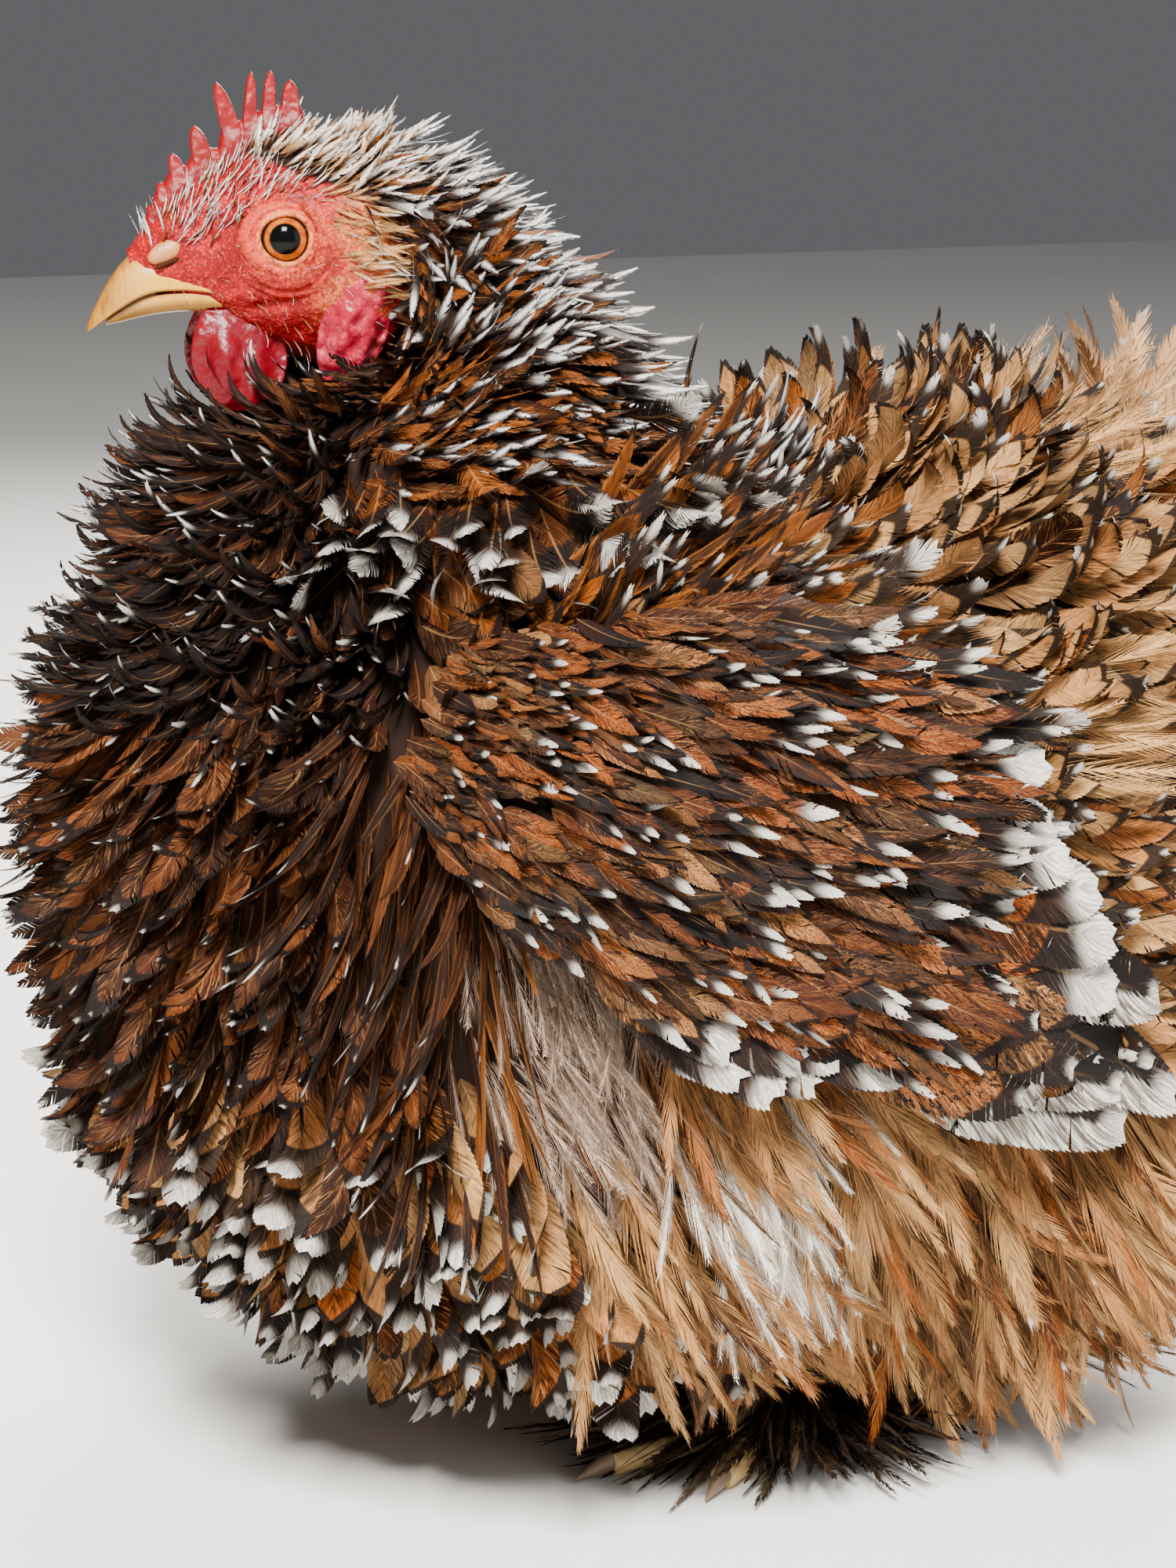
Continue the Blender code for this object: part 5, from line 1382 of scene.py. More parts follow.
@dataclass
class Wing:
    """A folded wing: tiers of quills and coverts over the body's side.

    Places over the wing are degrees along it and up from its axis; the lows, highs, lengths and plumpness are
    lines of stations along it and values there.
    """

    side: Side
    tilt: float = 1.5
    ruffled: int = 620
    ruffle_ends: tuple = (-8, 36)
    ruffle_lows: tuple = ((-8, 3, 12, 36), (4, -3, -5, -6))
    ruffle_highs: tuple = ((-8, 8, 24, 36), (15, 25, 31, 32))
    ruffle_lengths: tuple = ((-8, 0, 12, 36), (9, 11.5, 17, 25))
    arm_ends: tuple = (1, 47)
    arm_lows: tuple = ((-3, 8, 24, 45, 72), (4, 0, -3, -5, -5))
    arm_highs: tuple = ((-3, 8, 24, 45, 72), (12, 20, 24, 24, 18))
    arm_plumpness: tuple = ((-3, 2, 12, 50, 60), (0.1, 0.7, 1, 0.8, 0.1))

    def batch(self, tier: Tier, number: int, dice: Dice) -> tuple:
        """One tier: a feather's web is spread over the wing's own map and rises to its tip by v^1.4, each
        lower edge lapping over the feather below.

        Args:
            tier: the row's sizes.
            number: its place in the wing, for the map.
            dice: random numbers.

        Returns:
            A batch for feather_piece.
        """
        share = np.linspace(0, 1, tier.count)
        v, x, flat, quads, tris = tier.cut.template(tier.count, dice)
        first, last = np.array(tier.first, float), np.array(tier.last, float)
        root = first + (last - first) * share[:, None] + dice.normal(size=(tier.count, 2)) * (1.3, 0.4)
        length = tier.lengths[0] + (tier.lengths[1] - tier.lengths[0]) * share
        length = length * dice.normal(1, 0.08, tier.count)
        bearing = np.radians(tier.bearings[0] + (tier.bearings[1] - tier.bearings[0]) * share
                             + dice.normal(size=tier.count) * 6.0)
        length, bearing = length[:, None], bearing[:, None]
        wide = x * tier.half_width
        along = root[:, :1] + length * v * np.cos(bearing) - np.sin(bearing) * wide
        up = root[:, 1:] + length * v * np.sin(bearing) + np.cos(bearing) * wide
        rise = tier.heights[1] - tier.heights[0] + dice.uniform(-0.4, 1.2, tier.count)[:, None]
        lip = dice.uniform(-0.5, 1.8, tier.count)[:, None] * np.clip(v, 0, None) ** 5
        tilt = self.tilt + dice.normal(size=tier.count)[:, None] * 0.5
        height = tier.heights[0] + rise * v**1.4 + lip - tilt * x - 0.9 * x * x
        points = kept_up(over_wing(along, up, height, self.side.value))
        if self.side is Side.LEFT:
            quads, tris = quads[:, ::-1], tris[:, ::-1]
        spread = np.stack([0.05 + (root[:, 0] + 5) / 110, 0.1 + (root[:, 1] + 10) / 45 + number * 0.004], -1)
        tipped = dice.uniform(size=tier.count) < tier.chance
        marks = marked(tier.count, dice=dice.uniform(size=tier.count),
                       tip=np.where(tipped, tier.tip * dice.uniform(0.7, 1.3, tier.count), 0),
                       band=tier.band * dice.uniform(0.7, 1.3, tier.count),
                       dark=tier.dark, pale=tier.pale, edge=tier.edge, pepper=tier.pepper)
        return points, v, flat, spread, (quads, tris), marks

    def ruffle(self, dice: Dice) -> tuple:
        """Small curled coverts sown unevenly over the wing's map, longer towards the rear.

        Args:
            dice: random numbers.

        Returns:
            A batch for feather_piece.
        """
        count = self.ruffled
        share = dice.uniform(size=count)
        start, end = self.ruffle_ends
        along = start + (end - start) * share**1.2
        low, high = through(*self.ruffle_lows, along), through(*self.ruffle_highs, along)
        up = low + (high - low) * dice.uniform(size=count)
        side, gap = self.side.value, 0.5
        place = over_wing(along, up, 0.6 + 2.6 * ease(along, -8, 4), side)
        back = unit(over_wing(along + gap, up, 0 * up, side) - over_wing(along - gap, up, 0 * up, side))
        over = unit(over_wing(along, up + gap, 0 * up, side) - over_wing(along, up - gap, 0 * up, side))
        normal = unit(np.cross(back, over) * side)
        bearing = np.radians(-9 + 0.7 * (up - 8) + dice.normal(size=count) * 11)[:, None]
        lie = unit(back * np.cos(bearing) + over * np.sin(bearing))
        lie = unit(lie - (lie * normal).sum(-1, keepdims=True) * normal)
        long = through(*self.ruffle_lengths, along) * dice.normal(1, 0.12, count).clip(0.7, 1.3)
        spangled, darkened = 0.30 + 0.35 * ripple(place, 9.0, 83), 0.5 * ripple(place, 11.0, 87).clip(0, 1)
        marks = marked(count, dice=dice.uniform(size=count),
                       tip=np.where(dice.uniform(size=count) < spangled, dice.uniform(0.22, 0.40, count), 0),
                       band=dice.uniform(0.0, 0.14, count), dark=dice.uniform(size=count) ** 2 + darkened,
                       pale=dice.uniform(size=count) ** 5 * 0.3, pepper=1.2)
        spread = np.stack([0.05 + (along + 10) / 120, 0.1 + (up + 10) / 45], -1)
        flock = Flock(place, normal, lie, spread, long, long * dice.normal(0.155, 0.02, count),
                      11 + dice.normal(size=count) * 3, (36 - 0.5 * along) * dice.uniform(-0.2, 1.5, count),
                      dice.normal(size=count) * 0.08, dice.normal(size=count) * 22, 0.25, marks)
        return flock_batch(flock, STROKE, dice)

    def arm(self, word: str) -> Object:
        """The arm under the coverts: a thin pad over the wing's map, plump by the root of a sine."""
        along, share = np.linspace(*self.arm_ends, 40)[:, None], np.linspace(0, 1, 24)[None]
        low, high = through(*self.arm_lows, along), through(*self.arm_highs, along)
        up = low + (high - low) * share
        along = along + 0 * up
        plump = 1.2 * np.sin(math.pi * share) ** 0.5 * through(*self.arm_plumpness, along)
        top, under = (over_wing(along, up, h, self.side.value) for h in (0.4 + plump, plump * 0 - 1.0))
        points, faces = closed_tube(np.concatenate([top, under[:, ::-1]], 1))
        vane = np.tile((0.3, 0.2), (len(points), 1))
        # The arm pad is painted near black, as painted shade under the coverts that lie over it.
        return add_piece(f"wing_{word}_arm", points, faces, {"Vane": vane}, marked(len(points), dark=1.0))

    def build(self, finish: Material) -> None:
        """Makes the arm and the feathers."""
        word = self.side.word
        dice = np.random.default_rng(31 + self.side.value)
        settle(self.arm(word), finish, "wing_feathers")
        batches = [self.batch(tier, number, dice) for number, tier in enumerate(TIERS)]
        coat = feather_piece(f"wing_{word}_feathers", batches + [self.ruffle(dice)])
        settle(coat, finish, "wing_feathers", f"wing_{word}")


@dataclass
class Tail:
    """A low round tail of soft curled feathers about an axis that rises to the rear.

    A tier is how far it opens from the axis in degrees, its count of feathers, their length and half width.
    Inner tiers open less than the degrees of inner; the reaches are how far round the axis tiers go.
    """

    root: tuple = (88.0, 0.0, 128.0)
    lift: float = 18.0
    radius: float = 20.0
    sunk: float = 6.0
    tiers: tuple = ((3, 9, 29, 5.0), (12, 15, 31, 5.5), (23, 20, 33, 6.5), (36, 26, 34, 6.5),
                    (52, 34, 33, 6.0), (68, 40, 30, 5.5), (84, 44, 27, 5.0))
    inner: float = 30.0
    inner_reach: float = 172.0
    outer_reach: float = 128.0
    cut: Cut = Cut(barbs=18, closed=0.5, slope=0.22, fray=0.2, shoulder=2.6, point=0.6)

    def build(self, finish: Material) -> None:
        """Rings of loose feathers; each ring opens wider than the one behind it."""
        dice = np.random.default_rng(41)
        lift = math.radians(self.lift)
        aside, up = np.array([0.0, 1.0, 0.0]), np.array([-math.sin(lift), 0, math.cos(lift)])
        back = np.array([math.cos(lift), 0, math.sin(lift)])
        batches = []
        for number, (angle, count, length, half_width) in enumerate(self.tiers):
            spread = np.radians(angle + dice.normal(size=count) * 8)[:, None]
            reach = self.inner_reach if angle < self.inner else self.outer_reach
            turn = np.radians(np.linspace(-reach, reach, count) + dice.normal(size=count) * 9)[:, None]
            away = up * np.cos(turn) + aside * np.sin(turn)
            lie = back * np.cos(spread) + away * np.sin(spread)
            normal = away * np.cos(spread) - back * np.sin(spread)
            root = np.array(self.root) + lie * (self.radius - self.sunk)
            where = np.stack([0.5 + turn[:, 0] / 7, 0.1 + np.full(count, number * 0.12)], -1)
            grown = dice.normal(1, 0.12, count).clip(0.7, 1.2)
            marks = marked(count, dice=dice.uniform(size=count),
                           tip=np.where(dice.uniform(size=count) < 0.3, 0.1, 0),
                           band=np.where(dice.uniform(size=count) < 0.3, 0.06, 0),
                           pale=np.clip(dice.normal(0.75, 0.15, count), 0, 1))
            flock = Flock(root, normal, lie, where, (length + self.sunk) * grown, half_width * grown,
                          4 + dice.normal(size=count) * 5,
                          np.where(dice.uniform(size=count) < 0.4, 30, -14.0),
                          dice.normal(size=count) * 0.08, dice.normal(size=count) * 16, 0.25, marks)
            batches.append(flock_batch(flock, self.cut, dice))
        settle(feather_piece("tail_feathers", batches), finish, "tail_feathers", "tail")


# The head's own pieces


@dataclass
class Comb:
    """The single comb: a low blade with eight points.

    A point is its place forward, its height, its half width and its tilt. Foot and blade are lines of places
    forward and heights there, all over the middle of the head.
    """

    points: tuple = ((23.2, 8.9, 1.5, 0.24), (21.4, 12.2, 1.7, 0.22), (18.9, 16.5, 2.0, 0.20),
                     (15.0, 20.5, 2.6, 0.16), (10.0, 26.9, 2.4, 0.24), (7.3, 28.2, 2.1, -0.10),
                     (4.3, 28.2, 2.0, -0.12), (0.9, 26.6, 2.6, -0.06))
    foot: tuple = ((-2, 0, 12, 25, 26.4), (12.0, 13.5, 9.5, 1.4, 0.0))
    blade: tuple = ((-2.2, -1.2, 1, 3, 8.9, 12, 18.3, 21.8, 25, 26.4),
                    (12.5, 20.0, 21.6, 21.9, 19.4, 17.2, 13.9, 11.4, 5.0, 0.6))
    columns: int = 34
    finger: float = 0.52

    def outline(self, forward: Array, blade: Array) -> tuple:
        """The comb's height and lean: each point is a wide foot, 1 - distance, under a narrow finger,
        (1 - |distance|^3.5)^0.5.

        Args:
            forward: places along the comb.
            blade: the blade's height there.

        Returns:
            Heights and leans.
        """
        high, lean = blade, 0 * forward
        for place, tip, half, tilt in self.points:
            near = np.abs((forward - place) / half)
            finger = (near < self.finger) * np.maximum(1 - (near / self.finger) ** 3.5, 0) ** 0.5
            rise = 0.42 * np.maximum(1 - near, 0) + 0.58 * finger
            raised = blade + (tip - blade) * rise
            lean = np.where(raised > high, tilt, lean)
            high = np.maximum(high, raised)
        return high, lean

    def build(self) -> Object:
        """Makes the comb from rows of rings that run up one side and down the other, thinner to the rim by
        (1 - v^9)^0.5."""
        forward = np.linspace(self.blade[0][0], self.blade[0][-1], 430)[:, None]
        v = np.linspace(0, 1, self.columns)[None]
        foot, blade = through(*self.foot, forward), through(*self.blade, forward)
        high, lean = self.outline(forward, blade)
        up = foot + (high - foot) * v
        over = up - blade
        thick = 1.9 - 0.95 * ease(over, -4, 3)
        thick = thick * (1 - v**9) ** 0.5 * ease(-np.abs(forward - 12.1), -14.3, -12.3)
        forward = forward + lean * np.maximum(over, 0) + 0 * v
        sides = [np.stack([forward, s * np.maximum(thick, 0.02), up], -1) for s in (1, -1)]
        ring = np.concatenate([sides[0], sides[1][:, ::-1]], 1)
        rough = ripple(ring, 1.3, 9) * 0.07 + ripple(ring, 3.4, 10) * 0.14
        ring[..., 1] += np.sign(ring[..., 1]) * rough * (np.abs(ring[..., 1]) > 0.2)
        points, faces = closed_tube(from_head(ring))
        pale = ease(over, 0, 8) * 0.35
        pale = np.append(np.concatenate([pale, pale[:, ::-1]], 1).ravel(), [0, 0])
        comb = add_piece("comb_blade", points, faces, None, {"pale": pale})
        flesh = CombFlesh("comb", (0.16, 0.0006, 0.002), (0.40, 0.008, 0.014), 0.45, 1300.0)
        return settle(comb, flesh.material(), "comb_skin", "comb")


@dataclass
class Lobe:
    """A hanging lobe of skin: a wattle or an ear lobe.

    Top is its root on the head. Sway and spread are how far its end stands back and outwards, fold and bumps
    the heights of its folds and bumps, sizes its outline from top to end, and pale its share of pale skin.
    """

    name: str
    node: str
    top: tuple
    length: float
    width: float
    thick: float
    side: Side
    sway: float
    spread: float
    fold: float
    finish: CombFlesh
    pale: float
    bumps: float = 0.10
    sizes: tuple = ((0, 0.15, 0.4, 0.65, 0.85, 0.96, 1.0), (0.62, 0.82, 1.0, 0.95, 0.72, 0.42, 0.10))

    def build(self) -> Object:
        """Oval rings from top to end, moved sideways by folds, sines of the place across that run down it."""
        side = self.side.value
        share, angle = np.linspace(0, 1, 70)[:, None], circle(96)
        across, facing = np.cos(angle), np.sin(angle)
        size = through(*self.sizes, share)
        half = self.thick / 2 * (0.45 + 0.55 * size) * np.minimum(1, (1.02 - share) * 9) ** 0.5
        folds = np.sin(3.4 * across + 2.0 * share) + 0.45 * np.sin(8.0 * across - 3.0 * share)
        forward = self.top[0] - self.sway * share + self.width / 2 * size * across
        left = (side * (self.top[1] + self.spread * share) + half * facing
                + self.fold * size * ease(share, 0.05, 0.45) * folds)
        up = self.top[2] - self.length * share + 0.5 * np.sin(5 * across) * share
        rings = np.stack([forward, left, up], -1)
        rough = ripple(rings, 1.6, 14) * 0.05 + ripple(rings, 3.6, 15) * self.bumps
        rings[..., 1] += rough * np.sign(facing)
        points, faces = closed_tube(from_head(rings))
        pale = np.full(len(points), self.pale) * (0.6 + 0.4 * ripple(points, 6.0, 3))
        lobe = add_piece(self.name, points, faces, None, {"pale": pale})
        return settle(lobe, self.finish.material(), "comb_skin", self.node)


@dataclass
class Eye:
    """An eyeball with its lids; reaches and heights are the lids' profile, from and along the eye's axis."""

    side: Side
    radius: float = 4.6
    cornea: float = 0.035
    cornea_reach: float = 0.62
    reaches: tuple = (3.55, 3.45, 3.5, 3.72, 4.05, 4.35, 4.6, 4.9, 5.3, 5.7, 6.1, 6.6)
    heights: tuple = (2.2, 2.9, 3.35, 3.68, 3.72, 3.45, 3.2, 3.42, 3.55, 3.2, 2.95, 2.2)

    def axes(self) -> Array:
        """Across, up and out of the eye."""
        axes = head_axes()
        out = unit(self.side.mirror(EYE_GAZE) @ axes)
        across = unit(np.cross(axes[2], out))
        return np.stack([across, np.cross(out, across), out])

    def ball(self) -> Object:
        """A sphere mapped by the angle from its gaze, its cornea raised by a bump of exp(-angle^4)."""
        polar = np.linspace(0.002, math.pi * 0.98, 64)[:, None]
        angle = circle(72)
        radius = self.radius * (1 + self.cornea * np.exp(-((polar / self.cornea_reach) ** 4)))
        wide = radius * np.sin(polar)
        local = np.stack(np.broadcast_arrays(wide * np.cos(angle), wide * np.sin(angle),
                                             radius * np.cos(polar)), -1)
        middle = from_head(self.side.mirror(EYE_PLACE))
        points, faces = closed_tube(middle + local @ self.axes())
        far = np.broadcast_to(polar / math.pi, (64, 72)).ravel()
        around = np.broadcast_to(angle / (2 * math.pi), (64, 72)).ravel()
        gaze = np.stack([np.append(around, [0, 0]), np.append(far, [0, 1])], -1)
        eye = add_piece(f"eye_{self.side.word}_ball", points, faces, {"Gaze": gaze})
        return settle(eye, Iris().material(), "eye", f"eye_{self.side.word}")

    def lids(self) -> Object:
        """A ring of folds about the eye: its profile runs from under the lid's edge over a rounded rim, a
        groove and a second low fold down into the cheek."""
        rows, columns = 160, len(self.reaches)
        angle = circle(rows).T
        reach, out = np.array(self.reaches)[None], np.array(self.heights)[None]
        oval = 1 + 0.035 * np.cos(2 * angle) - 0.03 * np.cos(angle * 3 + 0.6)
        wobble = (0.07 * np.sin(angle * 17) + 0.05 * np.sin(angle * 41)) * ease(reach, 4.0, 5.0)
        reach = reach * oval
        height = out + wobble - 0.25 * np.cos(angle - 0.3) * ease(reach, 3.8, 5.5)
        local = np.stack([reach * np.cos(angle), reach * np.sin(angle), height], -1)
        middle = from_head(self.side.mirror(EYE_PLACE))
        points = (middle + local @ self.axes()).reshape(-1, 3)
        faces = grid_faces(rows, columns, False)
        first = np.arange(columns - 1)
        last = (rows - 1) * columns + first
        seam = np.stack([last, first, first + 1, last + 1], -1)
        faces = np.concatenate([faces, seam])
        corners = points[faces]
        normal = np.cross(corners[:, 1] - corners[:, 0], corners[:, 3] - corners[:, 0])
        if (normal @ self.axes()[2]).sum() < 0:
            faces = faces[:, ::-1]
        rim = np.broadcast_to(ease(-reach, -4.6, -4.1), height.shape).ravel()
        lids = add_piece(f"eye_{self.side.word}_lids", points, [faces], None,
                         {"bare": np.ones(len(points)), "peach": 0.25 + 0.95 * rim})
        return settle(lids, Flesh(red=(0.42, 0.02, 0.015)).material(), "face_skin")


@dataclass
class Beak:
    """The two halves of the beak, with the low flaps over the nostrils."""

    stations: tuple = (8, 14, 20, 26, 30, 33, 34.4)
    half_widths: tuple = (8.0, 7.3, 6.0, 4.7, 3.5, 2.0, 0.7)
    tops: tuple = (-4.0, -1.5, 1.2, 2.3, -1.2, -5.8, -8.4)
    edges: tuple = (-6.6, -4.9, -3.9, -4.5, -6.6, -8.6, -9.6)
    chin_stations: tuple = (9, 14, 20, 26, 29.5, 31.5)
    chin_half_widths: tuple = (7.4, 6.7, 5.3, 3.8, 2.4, 0.9)
    chin_bottoms: tuple = (-9.0, -8.0, -7.5, -7.9, -8.5, -8.8)
    gape: float = 0.5
    nostril_parts: tuple = (
        ("flap", (21.7, 4.9, 2.1), (3.1, 1.5, 1.75), -0.30,
         Horn("nostril flap", (0.26, 0.075, 0.018), (0.52, 0.22, 0.07), 0.45, 500.0, relief=900.0)),
        ("slit", (21.3, 5.5, 0.5), (2.7, 0.85, 0.5), -0.34,
         Horn("nostril", (0.010, 0.003, 0.002), (0.05, 0.014, 0.006), 0.8, 900.0, 2.0, specular=0.05)))

    def half(self, at: Array, width: Array, top: Array, edge: Array) -> tuple:
        """Half a beak: arches of sin^0.8 over an edge that bulges a little inwards, by 1 - x^2.

        Args:
            at: distances forward.
            width: half widths there.
            top: heights of the ridge.
            edge: heights of the edge.

        Returns:
            Points, faces and a map of place round the arch and along the beak.
        """
        angle = np.linspace(0, math.pi, 60)[None]
        width, top, edge = width[:, None], top[:, None], edge[:, None]
        left, high = width * np.cos(angle), edge + (top - edge) * np.sin(angle) ** 0.8
        flat = np.linspace(-0.94, 0.94, 16)[None]
        left = np.concatenate([left, width * flat], 1)
        high = np.concatenate([high, edge + 0.15 * (top - edge) * (1 - flat**2)], 1)
        forward = np.broadcast_to(at[:, None], left.shape)
        points, faces = closed_tube(from_head(np.stack([forward, left, high], -1)))
        along = np.broadcast_to(((at - at[0]) / (at[-1] - at[0]))[:, None], left.shape).ravel()
        round_it = np.broadcast_to(np.append(angle[0] / math.pi, np.zeros(16)), left.shape).ravel()
        arch = np.stack([np.append(round_it, [0.5, 0.5]), np.append(along, [0, 1])], -1)
        return points, faces, arch

    def nostrils(self) -> None:
        """A horny flap over a dark slit on each side: flattened ovals that slope down forwards."""
        polar, angle = np.linspace(0.05, math.pi - 0.05, 24)[:, None], circle(32)
        ball = np.stack(np.broadcast_arrays(np.cos(polar), np.sin(polar) * np.cos(angle),
                                            np.sin(polar) * np.sin(angle)), -1)
        for label, place, size, drop, finish in self.nostril_parts:
            local = ball * size
            local[..., 2] += drop * local[..., 0]
            points, faces = joined([closed_tube(from_head(local + side.mirror(place))) for side in Side])
            arch = {"Arch": np.full((len(points), 2), 0.3)}
            settle(add_piece(f"nostril_{label}", points, faces, arch), finish.material(), "beak_horn")

    def build(self) -> None:
        """Makes both halves and the nostrils."""
        finish = BeakHorn().material()
        at = np.append(np.linspace(8, 33.6, 70), 34.4)
        upper = self.half(at, *(through(self.stations, line, at) for line in
                                (self.half_widths, self.tops, self.edges)))
        at = np.append(np.linspace(9, 31.0, 60), 31.5)
        lower = self.half(at, through(self.chin_stations, self.chin_half_widths, at),
                          through(self.chin_stations, self.chin_bottoms, at),
                          through(self.stations, self.edges, at) - self.gape)
        for word, (points, faces, arch) in (("upper", upper), ("lower", lower)):
            horn = add_piece(f"beak_{word}_horn", points, faces, {"Arch": arch})
            settle(horn, finish, "beak_horn", f"beak_{word}")
        self.nostrils()


# Feet


@dataclass
class Foot:
    """A short scaled foot with four clawed toes, under long foot feathers.

    A toe is its name, its length and its bearing in degrees; the radii are lines of stations and values.
    """

    side: Side
    toes: tuple = (("inner", 28.0, 26.0), ("middle", 37.0, -4.0), ("outer", 29.0, -34.0),
                   ("hind", 14.0, 170.0))
    toe_radii: tuple = ((0, 0.3, 0.7, 1.0), (3.8, 3.4, 3.0, 2.1))
    shank_radii: tuple = ((0, 5, 9, 13.7), (5.2, 4.8, 4.4, 4.4))
    claw: float = 7.0
    claw_sunk: float = 1.2
    fringe: int = 210
    cut: Cut = Cut(barbs=16, closed=0.35, slope=0.25, fray=0.25, shoulder=2.0, point=0.7)

    def toe(self, length: float, bearing: float) -> tuple:
        """A toe and its claw: rings along the ground that taper, the toe with raised scutes.

        Args:
            length: the toe's length from the shank's middle.
            bearing: its direction, 0 forwards.

        Returns:
            The toe's and the claw's surfaces.
        """
        s, turn = self.side.value, math.radians(bearing)
        way = np.array([-math.cos(turn), s * math.sin(turn), 0.0])
        aside, up = np.array([-way[1], way[0], 0.0]), np.array([0.0, 0.0, 1.0])
        start = np.array([LEG_X, -s * LEG_Y, 0.0])
        angle = circle(28)
        along = np.linspace(1.0, length, 90)[:, None]
        radius = through(*self.toe_radii, along / length)
        scute = 0.16 * np.abs(np.sin(along * math.pi / 2.2)) * (np.sin(angle) > 0)
        middle = start + way * along[..., None] + up * (radius[..., None] * 0.92)
        rings = (middle + aside * ((radius + scute) * np.cos(angle))[..., None]
                 + up * ((radius * 0.92 + scute) * np.sin(angle))[..., None])
        share = np.linspace(0, 1, 24)[:, None]
        thin = 1.75 * (1 - share**1.6) + 0.12
        middle = (start + way * (length - self.claw_sunk + (self.claw + self.claw_sunk) * share)[..., None]
                  + up * (2.4 - 1.0 * share - 0.9 * share**2 + 0.2)[..., None])
        nail = (middle + aside * (thin * 0.8 * np.cos(angle))[..., None]
                + up * (thin * np.sin(angle))[..., None])
        nail[..., 2] = np.maximum(nail[..., 2], 0.2)
        return closed_tube(rings), closed_tube(nail)

    def build(self, horn: Material, nail: Material, plumage: Material) -> None:
        """Makes the shank with its toes, the claws and the foot feathers."""
        word, s = self.side.word, self.side.value
        z = np.linspace(0.2, 14.2, 40)[:, None]
        angle = circle(48)
        radius = (through(*self.shank_radii, z)
                  + 0.14 * np.abs(np.sin(z * math.pi / 2.4)) * (np.cos(angle) < 0.2))
        shank = closed_tube(np.stack([LEG_X + radius * np.cos(angle),
                                      -s * LEG_Y + radius * np.sin(angle), z + 0 * angle], -1))
        made = [(name, self.toe(length, bearing)) for name, length, bearing in self.toes]
        foot = add_piece(f"foot_{word}_scales", *joined([shank] + [toe for _, (toe, _) in made]))
        settle(foot, horn, "foot_horn", f"foot_{word}")
        for name, (_, claw) in made:
            settle(add_piece(f"claw_{word}_{name}_nail", *claw), nail, "foot_horn", f"claw_{word}_{name}")
        self.feathers(word, plumage)

    def feathers(self, word: str, plumage: Material) -> None:
        """Long stiff feathers that fan outwards and forwards from shank and toes and lie on the ground."""
        s = self.side.value
        dice = np.random.default_rng(51 + s)
        count = self.fringe
        turn = np.radians(dice.uniform(-30, 165, count))
        way = np.stack([-np.cos(turn), -s * np.sin(turn), np.zeros(count)], -1)
        root = np.array([LEG_X, -s * LEG_Y, 0.0]) + way * dice.uniform(2, 12, (count, 1))
        root[:, 2] = dice.uniform(4, 13, count)
        normal = np.tile([0.0, 0.0, 1.0], (count, 1))
        length = dice.uniform(19, 28, count) + 11 * ease(-turn, -1.1, -0.1)
        marks = marked(count, dice=dice.uniform(size=count),
                       dark=np.clip(dice.normal(0.8, 0.15, count), 0, 1),
                       pale=np.where(dice.uniform(size=count) < 0.12, 0.4, 0.0))
        where = np.stack([0.5 + turn / 8, root[:, 2] / 20], -1)
        flock = Flock(root, normal, way, where, length, dice.uniform(1.2, 2.6, count),
                      dice.uniform(-14, 4, count), dice.uniform(-14, 12, count),
                      dice.normal(size=count) * 0.12, dice.normal(size=count) * 30, 0.2, marks)
        coat = feather_piece(f"foot_{word}_feathers", [flock_batch(flock, self.cut, dice)])
        settle(coat, plumage, "foot_feathers")


# The studio


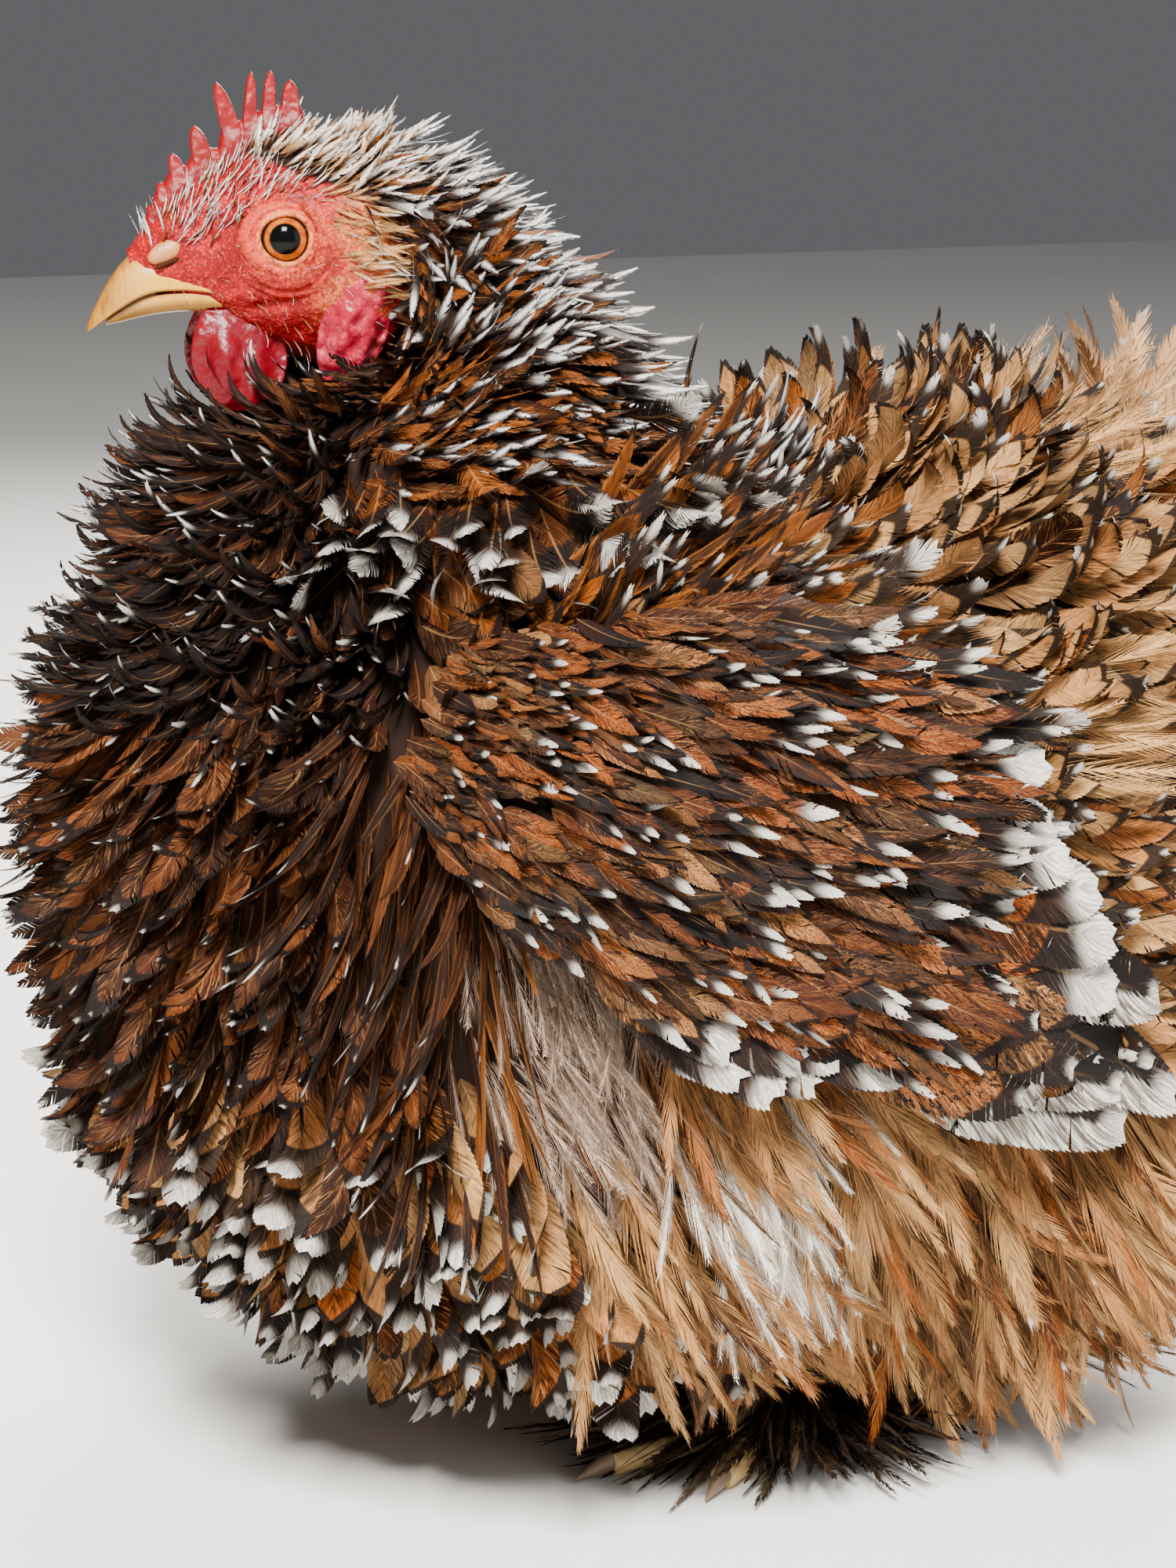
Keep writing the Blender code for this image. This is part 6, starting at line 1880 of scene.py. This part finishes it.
@dataclass
class Studio:
    """Pale floor, soft lights and the camera at the photograph's angle.

    Target and far are mm in the bird's frame. A lamp is its name, place, size, power and colour, in metres
    and watts.
    """

    target: tuple = (-27.0, 7.0, 105.0)
    look: tuple = (0.489, 0.847, -0.208)
    far: float = 560.0
    lens: float = 77.5
    sensor: float = 36.0
    lit_at: tuple = (-0.02, 0, 0.10)
    sky: tuple = (0.78, 0.80, 0.84, 1)
    sky_strength: float = 0.16
    lamps: tuple = (("key", (-0.55, -0.70, 1.0), 0.36, 72.0, (1.0, 0.97, 0.93)),
                    ("fill", (0.55, -0.95, 0.45), 0.9, 9.0, (0.95, 0.97, 1.0)),
                    ("rim", (0.55, 0.65, 0.75), 0.6, 26.0, (1.0, 0.98, 0.95)))
    floor_reach: float = 3000.0
    floor_colours: tuple = ((0.84, 0.82, 0.77), (0.92, 0.90, 0.86))

    def light(self, name: str, place: tuple, size: float, power: float, colour: tuple) -> None:
        """An area light that faces the bird."""
        lamp = bpy.data.lights.new(name, "AREA")
        lamp.size, lamp.energy, lamp.color = size, power, colour
        thing = bpy.data.objects.new(name, lamp)
        bpy.context.scene.collection.objects.link(thing)
        thing.location = place
        thing.rotation_euler = (Vector(self.lit_at) - Vector(place)).to_track_quat("-Z", "Y").to_euler()

    def floor(self) -> None:
        """A wide cloudy floor at the bird's feet."""
        corners = np.array([(-1, -1, 0), (1, -1, 0), (1, 1, 0), (-1, 1, 0)]) * self.floor_reach
        floor = add_piece("floor", corners - SHIFT, [np.array([[0, 1, 2, 3]])])
        r = Recipe("floor", 0.8)
        floor.data.materials.append(r.finish(r.blend(*self.floor_colours, r.noise(r.spot(), 3.0, 3.0))))

    def build(self) -> None:
        """Makes the sky, the floor, the lamps and the camera."""
        scene = bpy.context.scene
        scene.world = bpy.data.worlds.new("studio")
        scene.world.use_nodes = True
        sky = scene.world.node_tree.nodes["Background"]
        sky.inputs["Color"].default_value = self.sky
        sky.inputs["Strength"].default_value = self.sky_strength
        self.floor()
        for lamp in self.lamps:
            self.light(*lamp)
        data = bpy.data.cameras.new("camera")
        camera = bpy.data.objects.new("camera", data)
        scene.collection.objects.link(camera)
        look = unit(np.array(self.look))
        camera.location = (np.array(self.target) - self.far * look) * MM
        camera.rotation_euler = Vector(look).to_track_quat("-Z", "Y").to_euler()
        data.lens, data.sensor_width, data.clip_start = self.lens, self.sensor, 0.01
        scene.camera = camera


# All together


def main() -> None:
    """Builds the hen piece by piece and dresses it."""
    logging.basicConfig(level=logging.INFO, format="%(name)s %(message)s")
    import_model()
    skin = Skin()
    skin.build()
    Coat(skin).build()
    wing = Plumage("wing feathers", (0.23, 0.050, 0.005), pepper=0.9).material()
    for side in Side:
        Wing(side).build(wing)
    Tail().build(Plumage("tail feathers", buff=(0.60, 0.34, 0.16)).material())
    Comb().build()
    wattle = CombFlesh("wattle", (0.12, 0.0004, 0.005), (0.31, 0.004, 0.014), 0.34, 1500.0)
    lobe = CombFlesh("ear lobe", (0.28, 0.003, 0.020), (0.62, 0.09, 0.12), 0.36, 1300.0)
    for side in Side:
        word = side.word
        Lobe(f"wattle_{word}_skin", f"wattle_{word}", (12.5, 4.8, -7.2), 15.2, 14.5, 2.8, side,
             1.0, 2.8, 0.9, wattle, 0.1).build()
        Lobe(f"earlobe_{word}_skin", f"earlobe_{word}", (-7.0, 14.0, -3.0), 16.5, 11.0, 4.8, side,
             -4.0, -2.6, 0.8, lobe, 0.5, 0.30).build()
        eye = Eye(side)
        eye.ball()
        eye.lids()
    Beak().build()
    horn = Horn("foot scales", (0.50, 0.30, 0.10), (0.68, 0.48, 0.22), 0.5, 300.0, relief=500.0,
                scaly=True).material()
    nail = Horn("claw horn", (0.12, 0.075, 0.045), (0.24, 0.16, 0.095), 0.35, 400.0).material()
    plumage = Plumage("foot feathers", ground=(0.10, 0.05, 0.025), buff=(0.62, 0.42, 0.20)).material()
    for side in Side:
        Foot(side).build(horn, nail, plumage)
    Studio().build()


if __name__ == "__main__":
    main()
